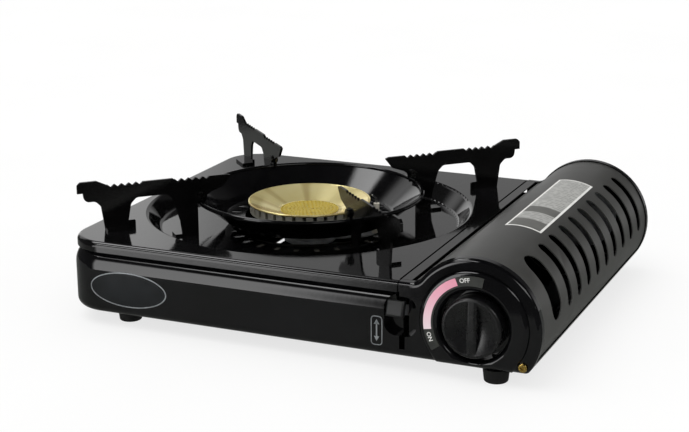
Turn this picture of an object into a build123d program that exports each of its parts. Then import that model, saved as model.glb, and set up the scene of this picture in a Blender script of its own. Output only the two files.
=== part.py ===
"""Tabletop butane cassette stove: enamelled case, top plate, burner, lift-off pan support, cartridge bay
with a hinged lid, control knob with piezo igniter, and the lever that locks the cartridge.

Millimetres, +Z up, +X to the cartridge side, -Y to the front. The origin is on the table under the
middle of the whole stove. The geometry is drawn about the middle of the case and moved back at the end,
because the knob and the lever stand proud of the front.
"""
import os
from math import asin, atan2, cos, degrees, hypot, pi, radians, sin, sqrt, tan

from build123d import *

os.makedirs("parts", exist_ok=True)

# ------------------------------------------------------------------ driving dimensions
# The stove grows from its burner outwards: each size is either set by itself or added to its neighbour's.
sheet = 0.8                    # pressed steel of the case, plate and lid
case_bottom = 9.2              # underside of the case above the table
case_wall = 47.6               # height of the case's wall
corner_radius = 29.0           # the case's corners seen from above
shoulder_radius = 16.0         # the wall's round shoulder
hem_radius = 6.0               # the wall's round lower edge
mouth_margin = 8.0             # flat flange between the shoulder and the mouth
seat_gap = 0.3                 # between pieces that are put together and stay so
running_gap = 0.05             # round shafts and pins that turn or slide

head_radius = 43.8             # burner head
head_wall = 3.8
head_height = 17.0             # throat to the skirt
head_socket = 6.0
head_lip = 0.4
head_throat_wall = 2.0
ports = 36                     # flame slots in the burner head
port_width = 2.6
port_depth = 4.2
cap_overhang = 1.4             # brass burner cap
cap_rise = 7.4
cap_well_radius = 24.0
cap_lift = 0.2                 # cap's well above the head's skirt
cap_sheet = 1.0
cap_bead = 0.8
cap_bend = 2.0
cap_seat = 0.03
mesh_margin = 2.5              # pierced disc in the cap's well
mesh_rings = 7
mesh_pitch = 2.9
mesh_hole = 0.8
mesh_thickness = 0.4

bowl_gap = 2.3                 # burner cap to the bowl's hole
bowl_floor_width = 14.5
bowl_flare = 22.6              # the cone's run
bowl_rise = 18.4               # and its height
bowl_sheet = 0.8
bowl_bend = 3.0
bowl_bead_radius = 1.5
bowl_slots = 24
bowl_slot_width = 4.2
bowl_slot_length = 9.0
bowl_drop = 5.4                # bowl's floor below the top of the plate

inner_leg_gap = 0.8            # bowl's rim to the arms' inner legs
inner_leg_width = 11.9
outer_leg_width = 16.9
well_clearance = 12.7          # arms' inner feet to the edge of the well's floor
well_slope = 9.0
well_depth = 11.2
well_hole_gap = 12.8           # burner cap to the plate's hole
well_bend = 3.0
outer_leg_gap = 17.4           # well to the arms' outer legs
well_left_margin = 7.15        # well to the plate's left edge
well_right_margin = 5.95
well_front_margin = 18.7

plate_rise = 4.4               # plate's top above the case's wall
plate_left_inset = 3.1         # plate's rim behind the bulge of the wall
plate_front_inset = 0.1        # plate's rim behind the bead
rim_height = 7.0
rim_radius = 3.4
strip_width = 7.4              # strip along the lid
strip_end_gap = 0.4            # strip to the arches
groove_width = 1.4             # pressed line between the plate and its strip

arm_first = 45.0               # degrees to the first arm
arm_thickness = 1.8
arm_height = 32.4              # where a pan rests, above the plate
arm_seat = 0.05                # feet of the pan support above the plate
arm_bar = 11.1                 # depth of an arm's bar
arm_overhang = 23.8            # the tip inside the bowl's rim
arm_tip = 2.3                  # bevel at the ends
arm_beak = 8.5                 # underside of the pointed inner end
arm_beak_run = 5.4
arm_step = 0.8                 # the tip's teeth are a little lower
arm_step_run = 1.0
arm_rise_start = 2.3           # bar's level part ends this far inside the outer foot
arm_rise = 3.6
arm_rise_run = 7.4
arm_hook_length = 18.8         # the end past the outer foot
arm_hook_height = 8.1
arm_hook_width = 4.0
arm_corner = 4.0               # bevel where a leg meets the bar
arm_flare = 2.3
arm_inner_flare = 6.3
arm_inner_slope = 1.3
arm_foot_width = 7.0
arm_round = 4.0                # rounding of the corners under the bar
arm_end_round = 2.0
arm_lug = 5.0                  # the outer foot's heel
arm_lug_height = 5.4
arm_toe = 5.5                  # the inner foot past its leg
tooth_count = 5
tooth_pitch = 5.2
tooth_width = 4.6
tooth_depth = 1.9
tooth_margin = 3.0             # last notch to the end of its row
rivet_inset = 2.0              # rivet inside the bowl's rim
rivet_rise = 4.4               # and above it
rivet_radius = 1.6
rivet_head = 1.2
ear_thickness = 1.2
ear_radius = 3.4
ear_height = 9.4

knob_radius = 20.0
knob_reach = 3.7               # the knob's face in front of the bead
knob_depth = 10.5
knob_rim = 2.2
knob_dish = 5.0                # depth of the hollowed face
knob_grip_width = 7.4
knob_grip_round = 2.2
knob_wall = 2.6
knob_edge = 1.8
knob_travel = 97.0             # degrees, OFF to ON
knob_hub_length = 1.2
spindle_radius = 3.0
spindle_seat = 0.02            # spindle in the knob and the cam
spindle_in_knob = 3.4
recess_gap = 3.2               # knob to the wall of its recess
recess_lip = 3.4               # rolled lip of the recess
recess_depth = 8.9             # behind the front bead
recess_bottom_gap = 3.6        # liner of the recess above the case's floor
boss_width = 14.3              # raised ring round the recess
boss_height = 1.6
boss_round = 4.0               # and its round shoulder
boss_gap = 0.8                 # ring to the bead
dial_inset = 0.3
dial_margin = 0.1
dial_thickness = 0.3
dial_start = 78
dial_end = 215

bead_width = 6.4               # raised bead that follows an arch's outline
bead_height = 1.8
bead_radius = 3.2
arch_cap = 6.3                 # how deep an arch is, front to back
arch_fillet = 9.0              # where an arch runs into the level of the plate
plateau_gap = 0.8              # plate's rim to the level part of the arches
low_corner_radius = 9.0
panel_margin = 8.2             # panel's right edge inside the arch's side
panel_screw_inset = 3.7
panel_screw_height = 5.7

lid_inset = 0.9                # lid behind the arches' outline
lid_gap = 0.3                  # lid to each arch
lid_lower_edge = 7.4           # lid's lower edge above the case's floor
lid_bend = 3.0
slot_count = 9                 # narrow cooling slots
slot_width = 9.6
wide_slot_width = 20.0
wide_slot_margin = 31.1        # wide slot's middle to the lid's front
first_slot_step = 28.95        # wide slot to the first narrow one
last_slot_margin = 19.83
slot_top_angle = 61.0
slot_bottom_angle = -1.2
hinge_pin_radius = 1.5
hinge_offset = 2.95            # pin's centre below the top of the plate
hinge_gap = 3.3                # strip to the pin's centre
hinge_flat = 1.7               # level part of the lid's flange
pin_inset = 1.6
pin_length = 10.0

partition_inset = 3.2          # partition inside the plate's right edge
lever_gap = 5.9                # partition to the lever's middle
lever_thickness = 2.5
lever_pivot_depth = 34.5       # pivot behind the case's front wall
lever_pivot_drop = 7.6         # pivot below the knob's axis
lever_tab_gap = 2.7            # tab clear of the front wall when level
lever_tab_thickness = 3.6
lever_tab_width = 12.2
lever_tab_offset = 3.6         # tab's middle left of the lever
lever_tab_angle = 16.0         # degrees of arc that the tab's height takes
lever_tab_edge = 1.6
lever_up = 20.0                # degrees above level when unlocked
lever_crank = 11.5
lever_crank_tilt = 17.0        # degrees behind upright when unlocked
lever_crank_pin = 1.5
lever_crank_wall = 1.25
lever_stem_width = 7.0
lever_stem_insert = 1.5
lever_hub_radius = 6.0
lever_pin_radius = 2.0
lever_slot_width = 3.8
lever_slot_margin = 4.0
lever_slot_rise = 6.2
lever_pin_end = 1.5
pocket_left_gap = 2.8          # pocket round the lever's tab
pocket_right_gap = 7.5
pocket_drop = 5.9              # pocket's top below the top of the wall
pocket_height = 26.8
pocket_depth = 9.3             # behind the front bead
pocket_radius = 8.0

rail_gap = 2.05                # lever to the pusher rail
rail_thickness = 1.5
rail_below = 3.5               # rail's edges from the crank pin's middle
rail_above = 4.5
rail_slot = 4.6
rail_pin_room = 0.15
rail_clearance = 0.3
rail_edge = 1.0
guide_length = 10.0
guide_sheet = 1.0
guide_lip = 2.0
guide_base = 4.0
rail_gap_back = 0.5            # pusher plate behind the cartridge's base
front_guide = 121.5            # guides' middles behind the front arch and before the rear arch
rear_guide = 61.5

can_radius = 33.5              # the butane cartridge that the bay takes
can_rise = 8.7                 # its axis above the knob's
can_margin = 21.5              # its base before the rear arch
pusher_radius = 26.0
front_saddle = 91.5            # saddles behind the front arch and before the rear arch
rear_saddle = 71.5
cradle_wall = 1.2
cradle_base = 18.0
cradle_saddle = 26.0
cradle_end = 6.0
cradle_drop = 18.4             # saddles' top below the cartridge's axis
saddle_gap = 0.2

chamber_lift = 5.0             # burner's chamber above the case's floor
chamber_radius = 13.0
chamber_floor_gap = 12.0       # chamber's floor to the tube's axis
chamber_rise = 15.0            # and from there to its mouth
tube_radius = 8.5              # mixing tube
tube_wall = 0.8
mouth_length = 12.0
mouth_radius = 9.6
window_width = 6.0
mouth_gap = 1.0                # flared mouth to the jet
jet_inset = 26.3               # where the gas leaves, left of the knob's axis
jet_forward = 4.0
jet_length = 5.0
jet_setback = 12.7             # jet's face before the place where the gas leaves
jet_radius = 3.5
jet_shank = 2.0
jet_hole = 0.5
jet_boss = 5.0
jet_boss_length = 18.0
bracket_sheet = 1.2
bracket_width = 22.0
bracket_leg = 15.0
bracket_foot = 30.0
bracket_screw_x = 24.0
bracket_screw_length = 4.0
screw_radius = 1.6
screw_head = 3.0
screw_head_height = 1.7
screw_cross = 0.8
screw_length = 5.0
screw_clearance = 0.05

drum_radius = 18.0             # regulator
drum_rise = 6.4                # its axis above the knob's
drum_length = 22.0
cover_thickness = 3.0
cover_edge = 1.0
barrel_radius = 9.0
barrel_length = 8.0
barrel_gap = 2.0               # cam to the barrel
block_width = 15.0             # boss that carries the jet
block_length = 14.0
block_drop = 6.0               # its lower end below the jet
socket_radius = 13.0
socket_wall = 3.0
socket_floor = 2.0
socket_length = 5.0
socket_pin = 1.5
socket_notch = 5.0
regulator_screw_spread = 11.5
regulator_screw_rise = 7.0
regulator_screw_length = 7.0
regulator_foot = 14.0
regulator_plate_margin = 2.0
regulator_plate_drop = 4.0

piezo_length = 25.5
piezo_size = 12.0
piezo_gap = 0.8                # rail to the igniter
piezo_edge = 1.5
plunger_radius = 1.8
plunger_inside = 8.0
plunger_gap = 0.35
cam_radius = 8.0
cam_ramp = 4.0
cam_gap = 5.9                  # floor of the knob's recess to the cam
cam_thickness = 3.0
spindle_in_drum = 6.0
electrode_angle = 35.0
electrode_gap = 5.3            # burner cap to the electrode
electrode_notch = 4.0
electrode_insulator_radius = 2.2
electrode_collar = 1.3
collar_height = 3.0
wire_socket = 2.0
electrode_wire_radius = 0.7
electrode_drop = 5.6           # ceramic's top below the cap's rim
electrode_bend = 2.1           # the wire's bend below the cap's rim
electrode_tip = 2.2            # spark gap
electrode_length = 31.0
strap_drop = 5.0               # electrode's strap below the chamber's mouth
strap_sheet = 1.2
strap_width = 12.0
strap_end = 6.0
lead_radius = 1.0              # high voltage lead
lead_inset = 4.0               # where it leaves the igniter
lead_start_rise = 2.9
lead_turn = 3.0
lead_crossing = 45.0           # where it crosses the rail, before the middle
lead_rise = 4.5                # above the rail
lead_run = 26.0                # from there to the burner's side
lead_reach = 33.0
lead_sink = 8.0
lead_swing = 26.4
lead_hole = 1.2

foot_radius = 8.8
foot_taper = 1.0
foot_edge = 1.4
foot_stem_radius = 3.0
foot_stem_gap = 0.1
foot_barb = 1.0
foot_right = 12.4              # right of the knob's axis
foot_left = 43.0               # from the left wall
foot_right_inset = 9.0         # behind the front wall and before the rear one
foot_left_inset = 20.5

floor_vents = 9
floor_vent_pitch = 14.0
floor_vent_length = 34.0
floor_vent_width = 4.5
floor_vent_y = 62.0

# ------------------------------------------------------------------ places worked out from them
# from the burner outwards
cap_radius = head_radius + cap_overhang
cap_cone_radius = cap_radius - 2 * cap_bead
bowl_hole_radius = cap_radius + bowl_gap
bowl_floor_radius = bowl_hole_radius + bowl_floor_width
bowl_rim_radius = bowl_floor_radius + bowl_flare
arm_inner_foot = bowl_rim_radius + inner_leg_gap + inner_leg_width
well_radius = arm_inner_foot + well_clearance + well_slope
well_hole_radius = cap_radius + well_hole_gap
arm_outer_foot = well_radius + outer_leg_gap + outer_leg_width
arm_end = arm_outer_foot + arm_hook_length

# the knob, its recess and the arch round them
recess_radius = knob_radius + recess_gap
boss_radius = recess_radius + boss_width
arch_radius = boss_radius + boss_gap + bead_width
floor_top = case_bottom + sheet
arch_height = floor_top + recess_bottom_gap + sheet + recess_radius
wall_top = case_bottom + case_wall
plate_top = wall_top + plate_rise
plate_under = plate_top - sheet

# the lid's rolled edge, and from it the place of the knob's axis
hinge_z = plate_top - hinge_offset
lid_radius = arch_radius - lid_inset
lid_middle = lid_radius - sheet / 2
knuckle_radius = hinge_pin_radius + running_gap + sheet / 2
flange_z = hinge_z + knuckle_radius
lid_rise = asin((flange_z + lid_bend - arch_height) / (lid_middle + lid_bend))
hinge_to_axis = hinge_flat + (lid_middle + lid_bend) * cos(lid_rise)

# left to right, first from the burner and then from the middle of the case
plate_width = 2 * well_radius + well_left_margin + well_right_margin
case_width = plate_left_inset + plate_width + strip_width + hinge_gap + hinge_to_axis + arch_radius
half_width = case_width / 2
plate_left = -half_width + plate_left_inset
plate_right = plate_left + plate_width
burner_x = plate_left + well_left_margin + well_radius
strip_right = plate_right + strip_width
plateau_start = plate_right + plateau_gap
hinge_x = strip_right + hinge_gap
arch_x = hinge_x + hinge_to_axis                # knob's axis and the lid's centre line
partition_x = plate_right - partition_inset
lever_x = partition_x + lever_gap
rail_x = lever_x + lever_thickness / 2 + rail_gap + rail_thickness / 2
panel_half_width = arch_radius - panel_margin
panel_screw_x = arch_x + arch_radius - panel_margin - panel_screw_inset
panel_screw_z = case_bottom + panel_screw_height

# front to back
plate_front = well_radius + well_front_margin
half_depth = plate_front + plate_front_inset
case_depth = 2 * half_depth
panel_front = half_depth - bead_height          # the wall's front face is at -panel_front
boss_front = panel_front + boss_height
cap_inner = half_depth - arch_cap               # the arches' inner ends
knob_face = half_depth + knob_reach
recess_floor = half_depth - recess_depth
cam_front = recess_floor - cam_gap
barrel_front = cam_front - cam_thickness - barrel_gap
drum_front = barrel_front - barrel_length
drum_split = drum_front - drum_length           # joint between the regulator's body and its cover
spindle_front = knob_face - knob_depth + spindle_in_knob
spindle_end = drum_front - spindle_in_drum
setback = knob_reach / 2                        # moves the case's middle to the origin

# from the table upwards
rim_bottom = plate_top - rim_height
well_floor = plate_top - well_depth
bowl_floor = plate_top - bowl_drop
bowl_rim_height = bowl_floor + bowl_rise
arm_top = plate_top + arm_height
arm_peak = arm_top + arm_rise
chamber_bottom = floor_top + chamber_lift
tube_height = chamber_bottom + chamber_floor_gap
chamber_top = tube_height + chamber_rise
head_skirt = chamber_top + head_height
cap_well_floor = head_skirt + cap_lift
cap_cone_top = cap_well_floor + cap_rise
drum_height = arch_height + drum_rise
can_height = arch_height + can_rise
lid_lower_height = floor_top + lid_lower_edge
panel_run_out = arch_height - sqrt((arch_radius - bead_width) ** 2 - panel_half_width ** 2)
rim_run = shoulder_radius - sqrt(shoulder_radius ** 2 - (rim_bottom - wall_top + shoulder_radius) ** 2)
rivet_r = bowl_rim_radius - rivet_inset
rivet_z = bowl_rim_height + rivet_rise
dial_outer_radius = boss_radius - boss_round - dial_margin
dial_inner_radius = recess_radius + recess_lip + dial_inset

# lever and rail
lever_pivot_y = lever_pivot_depth - panel_front
lever_pivot_z = arch_height - lever_pivot_drop
lever_reach = lever_pivot_depth + lever_tab_gap
pocket_top = wall_top - pocket_drop
pocket_bottom = pocket_top - pocket_height
lever_slot_bottom = case_bottom + lever_slot_rise
lever_tab_left = lever_x - lever_tab_offset - lever_tab_width / 2
lever_tab_right = lever_tab_left + lever_tab_width
pocket_left = lever_tab_left - pocket_left_gap
pocket_right = lever_tab_right + pocket_right_gap
crank_angle = 90 + lever_crank_tilt
rail_bottom = lever_pivot_z + lever_crank * cos(radians(lever_crank_tilt)) - rail_below
rail_top = rail_bottom + rail_below + rail_above
can_back = cap_inner - can_margin
rail_front = -drum_front
partition_front = half_depth - pocket_depth - sheet - seat_gap
partition_rear = panel_front - rim_run
wide_slot = wide_slot_margin - cap_inner
first_slot = wide_slot + first_slot_step
slot_pitch = (cap_inner - last_slot_margin - first_slot) / (slot_count - 1)
guide_ys = (front_guide - cap_inner, cap_inner - rear_guide)
cradle_ys = (front_saddle - cap_inner, cap_inner - rear_saddle)

# gas and spark
jet_x = arch_x - jet_inset
jet_y = jet_forward - drum_split
jet_run = hypot(jet_x - burner_x, jet_y)
jet_start = jet_run - jet_setback
tube_end = jet_start - mouth_gap - mouth_length / 2
bracket_screw_xs = (burner_x - bracket_screw_x, burner_x + bracket_screw_x)
regulator_screw_xs = (arch_x - regulator_screw_spread, arch_x + regulator_screw_spread)
regulator_screw_z = drum_height + regulator_screw_rise
piezo_left = rail_x + rail_thickness / 2 + piezo_gap
piezo_right = piezo_left + piezo_length
piezo_y = cam_thickness / 2 - cam_front
plunger_back = piezo_right - plunger_inside
plunger_tip = arch_x - cam_radius - plunger_gap
electrode_radius = cap_radius + electrode_gap
electrode_head = cap_cone_top - electrode_drop
electrode_bottom = electrode_head - electrode_length
strap_height = chamber_top - strap_drop
lead_high = (lever_x, -lead_crossing, rail_top + lead_rise)
lead_low = (lever_x - lead_run, lead_reach - lead_crossing, rail_top + lead_rise - lead_sink)
foot_right_x = arch_x + foot_right
foot_left_x = -half_width + foot_left
foot_right_y = panel_front - foot_right_inset
foot_left_y = panel_front - foot_left_inset
foot_places = ((foot_right_x, -foot_right_y), (foot_left_x, -foot_left_y),
               (foot_right_x, foot_right_y), (foot_left_x, foot_left_y))


# ------------------------------------------------------------------ helpers
def block(x0, x1, y0, y1, z0, z1):
    """A box between two corners."""
    return Pos((x0 + x1) / 2, (y0 + y1) / 2, (z0 + z1) / 2) * Box(x1 - x0, y1 - y0, z1 - z0)


def rod(start, end, radius):
    """A round bar from one point to another."""
    line = Vector(end) - Vector(start)
    bottom = (Align.CENTER, Align.CENTER, Align.MIN)
    return Plane(origin=start, z_dir=line) * Cylinder(radius, line.length, align=bottom)


def prism_y(outline, y0, y1):
    """An outline drawn in X and Z, made solid from y0 to y1."""
    return extrude(Plane.XZ.offset(-y1) * outline, amount=y1 - y0, dir=(0, -1, 0))


def prism_x(outline, x0, x1):
    """An outline drawn in Y and Z, made solid from x0 to x1."""
    return extrude(Plane.YZ.offset(x0) * outline, amount=x1 - x0, dir=(1, 0, 0))


def drum(radius, y0, y1, x=arch_x, z=arch_height):
    """A round bar along Y, by default on the knob's axis."""
    return rod((x, y0, z), (x, y1, z), radius)


def turned(path, thickness, x=burner_x):
    """A sheet whose middle line is a path of radius and height, turned about the burner's axis."""
    return Pos(x, 0, 0) * revolve(Plane.XZ * trace(path, line_width=thickness), axis=Axis.Z)


def around(shape, count, first=0.0):
    """Copies of a shape about the burner's axis."""
    return [Pos(burner_x, 0, 0) * Rot(0, 0, first + 360 * i / count) * shape for i in range(count)]


def rounded_slab(x0, x1, y, z0, z1, radius, right_radius=None):
    """A slab with round corners seen from above, symmetric front to back."""
    slab = block(x0, x1, -y, y, z0, z1)
    corners = slab.edges().filter_by(Axis.Z).sort_by(Axis.X)
    slab = fillet(corners[:2], radius)
    if right_radius:
        slab = fillet(slab.edges().filter_by(Axis.Z).sort_by(Axis.X)[-2:], right_radius)
    return slab


# ------------------------------------------------------------------ case
def arch_outline(inset):
    """Front view of the arches and the case below them, drawn in by an inset."""
    start = plateau_start - corner_radius
    disc = Pos(arch_x, arch_height) * Circle(arch_radius)
    level = Pos((plateau_start + arch_x) / 2, (case_bottom + plate_top) / 2)
    level *= Rectangle(arch_x - plateau_start, plate_top - case_bottom)
    lower = Pos((start + arch_x) / 2, (case_bottom + arch_height) / 2)
    lower *= Rectangle(arch_x - start, arch_height - case_bottom)
    below = Pos(arch_x, case_bottom - arch_radius) * Rectangle(4 * arch_radius, 2 * arch_radius)
    shape = (disc - below) + level + lower
    inner_corner = shape.vertices().filter_by(lambda v: abs(v.Y - plate_top) < 0.01).sort_by(Axis.X)[-1]
    shape = fillet(inner_corner, arch_fillet)
    low_corner = shape.vertices().filter_by(lambda v: abs(v.Y - case_bottom) < 0.01).sort_by(Axis.X)[-1]
    shape = fillet(low_corner, low_corner_radius)
    return offset(shape, amount=-inset) if inset else shape


def end_panel(inset):
    """The field inside an arch's bead, open to the left and below, let out by an inset."""
    left = plateau_start - 2 * corner_radius
    top = plate_top - bead_width + inset
    right = panel_half_width + inset
    field = Pos(arch_x, arch_height) * Circle(arch_radius - bead_width + inset)
    field += Pos((left + arch_x) / 2, top / 2) * Rectangle(arch_x - left, top)
    corner = field.vertices().filter_by(lambda v: abs(v.Y - top) < 0.01).sort_by(Axis.X)[-1]
    field = fillet(corner, arch_fillet + bead_width - inset)
    field += Pos(arch_x + right / 2, panel_run_out / 2) * Rectangle(right, panel_run_out)
    return field


def hem_profile(inset, y):
    """Side view of everything within y of the middle, with the case's rounded lower edges."""
    high = 2 * arch_radius
    side = Pos(0, (case_bottom + inset + high) / 2) * Rectangle(2 * (y - inset), high - case_bottom - inset)
    return fillet(side.vertices().sort_by(Axis.Y)[:2], hem_radius - inset)


def case_volume(inset):
    """The space that the case fills, drawn in by an inset; the case is one of these less a smaller one."""
    barrel = rounded_slab(-half_width + inset, plateau_start + corner_radius, panel_front - inset,
                          case_bottom + inset, wall_top - inset, corner_radius - inset)
    top = barrel.faces().sort_by(Axis.Z)[-1].edges().filter_by(lambda e: e.center().X < plateau_start)
    barrel = fillet(top, shoulder_radius - inset)
    low = barrel.faces().sort_by(Axis.Z)[0].edges().filter_by(lambda e: e.center().X < plateau_start)
    barrel = fillet(low, hem_radius - inset)

    panels = prism_y(arch_outline(inset), -panel_front + inset, panel_front - inset)
    panels &= prism_x(hem_profile(inset, panel_front), 0, case_width)

    beads = prism_y(arch_outline(inset), -half_depth + inset, half_depth - inset)
    rims = [e for face in beads.faces().filter_by(Axis.Y) for e in face.edges()
            if e.center().Z > case_bottom + hem_radius and e.center().X > plateau_start + 1]
    beads = fillet(rims, bead_radius - inset)
    beads &= prism_x(hem_profile(inset, half_depth), 0, case_width)
    beads -= prism_y(end_panel(inset), -case_depth, case_depth)
    volume = barrel + panels + beads

    boss = drum(boss_radius - inset, -boss_front + inset, -boss_front + 2 * boss_round)
    boss = fillet(boss.edges().filter_by(GeomType.CIRCLE).sort_by(Axis.Y)[0], boss_round - inset)
    boss &= prism_x(hem_profile(inset, boss_front), 0, case_width)
    return volume + boss


def knob_recess(grow):
    """The round recess behind the knob with its rolled lip, let out by an amount."""
    mouth = recess_radius + recess_lip
    lip = Plane(origin=(arch_x, recess_lip - boss_front, arch_height), z_dir=(0, 1, 0))
    flare = drum(mouth, -case_depth, recess_lip - boss_front) - lip * Torus(mouth, recess_lip - grow)
    return flare + drum(recess_radius + grow, -case_depth, -recess_floor + grow)


def lever_pocket(grow):
    pocket = block(pocket_left - grow, pocket_right + grow, -case_depth, -half_depth + pocket_depth + grow,
                   pocket_bottom - grow, pocket_top + grow)
    return fillet(pocket.edges().filter_by(Axis.Y), pocket_radius + grow)


def make_case():
    outer = case_volume(0) - knob_recess(0) - lever_pocket(0)
    inner = case_volume(sheet)
    shell = outer - inner

    shoulder = shoulder_radius + mouth_margin
    mouth = block(-half_width + shoulder, plateau_start - corner_radius / 4,
                  -panel_front + shoulder, panel_front - shoulder, wall_top - shoulder_radius, wall_top + 1)
    mouth += Pos(burner_x, 0, wall_top) * Cylinder(well_radius - seat_gap, shoulder_radius)
    shell -= mouth
    shell -= block(plateau_start - corner_radius / 2, case_width, -cap_inner, cap_inner,
                   lid_lower_height - 2 * seat_gap, case_width)
    liners = (knob_recess(sheet) - knob_recess(0)) + (lever_pocket(sheet) - lever_pocket(0))
    shell += liners & inner

    shell -= drum(spindle_radius + 4 * running_gap, -half_depth, 0)
    shell -= block(lever_x - lever_slot_width / 2, lever_x + lever_slot_width / 2, -case_depth,
                   -half_depth + 2 * pocket_depth, lever_slot_bottom, pocket_top - lever_slot_margin)
    for x, y in foot_places:
        shell -= rod((x, y, 0), (x, y, 2 * case_bottom), foot_stem_radius + foot_stem_gap)
    for x in bracket_screw_xs:
        shell -= rod((x, 0, 0), (x, 0, 2 * case_bottom), screw_radius + screw_clearance)
    for y in (-1, 1):
        shell -= rod((panel_screw_x, y * half_depth, panel_screw_z),
                     (panel_screw_x, y * cap_inner, panel_screw_z), screw_radius + screw_clearance)
    vent = SlotOverall(floor_vent_length, floor_vent_width, rotation=90)
    for i in range(floor_vents):
        for y in (-floor_vent_y, floor_vent_y):
            x = burner_x + (i - (floor_vents - 1) / 2) * floor_vent_pitch
            shell -= Pos(x, y, 0) * extrude(vent, amount=2 * case_bottom)
    return shell


# ------------------------------------------------------------------ top plate
def make_top_plate():
    """A pressed sheet with a rim whose curled lip hooks round the case's shoulder."""
    def slab(inset, right):
        body = rounded_slab(plate_left + inset, right, plate_front - inset, rim_bottom + inset,
                            plate_top - inset, corner_radius - inset)
        top = body.faces().sort_by(Axis.Z)[-1].edges().filter_by(lambda e: e.center().X < right - 0.1)
        return fillet(top, rim_radius - inset)

    plate = slab(0, plate_right) - slab(sheet, plate_right + corner_radius)
    plate -= rounded_slab(-half_width + rim_run - seat_gap, plate_right + corner_radius,
                          panel_front - rim_run + seat_gap, case_bottom, rim_bottom + 2 * sheet,
                          corner_radius - rim_run + seat_gap)
    strip_y = cap_inner - strip_end_gap
    plate += block(plate_right - 1, strip_right, -strip_y, strip_y, plate_under, plate_top)
    groove = (groove_width + 2 * sheet) / 2
    plate += block(plate_right - groove, plate_right + groove, -strip_y, strip_y,
                   plate_under - sheet, plate_top)
    groove = groove_width / 2
    plate -= block(plate_right - groove, plate_right + groove, -strip_y - 1, strip_y + 1,
                   plate_under, plate_top + 1)

    plate -= Pos(burner_x, 0, plate_top) * Cylinder(well_radius + 1, 2 * rim_height)
    floor_middle = well_floor - sheet / 2
    path = FilletPolyline((well_hole_radius, floor_middle), (well_radius - well_slope, floor_middle),
                          (well_radius, plate_top - sheet / 2), (well_radius + 2, plate_top - sheet / 2),
                          radius=well_bend)
    return plate + turned(path, sheet)


# ------------------------------------------------------------------ pan support
def make_bowl():
    middle = bowl_floor - bowl_sheet / 2
    side = bowl_rim_radius - bowl_bead_radius
    path = FilletPolyline((bowl_hole_radius, middle), (bowl_floor_radius, middle),
                          (side, bowl_rim_height - bowl_bead_radius), radius=bowl_bend)
    bowl = turned(path, bowl_sheet)
    bead = Pos(side, bowl_rim_height - bowl_bead_radius) * Circle(bowl_bead_radius)
    bowl += Pos(burner_x, 0, 0) * revolve(Plane.XZ * bead, axis=Axis.Z)
    slot = extrude(SlotOverall(bowl_slot_length, bowl_slot_width), amount=2 * bowl_floor)
    slot_middle = (bowl_hole_radius + bowl_floor_radius) / 2
    for cut in around(Pos(slot_middle, 0, 0) * slot, bowl_slots):
        bowl -= cut
    bowl -= Pos(burner_x, 0, 0) * Rot(0, 0, electrode_angle) * Pos(electrode_radius, 0, bowl_floor) \
        * Cylinder(electrode_notch, 2 * bowl_sheet)
    ear = Pos(rivet_r, rivet_z - ear_height / 2 + ear_radius) * Rectangle(2 * ear_radius, ear_height)
    ear = fillet(ear.vertices().sort_by(Axis.Y)[-2:], 0.8 * ear_radius)
    ear -= Pos(rivet_r, rivet_z) * Circle(rivet_radius + screw_clearance)
    back = -arm_thickness / 2
    for ear in around(prism_y(ear, back - ear_thickness, back), 4, arm_first):
        bowl += ear
    return bowl


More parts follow.
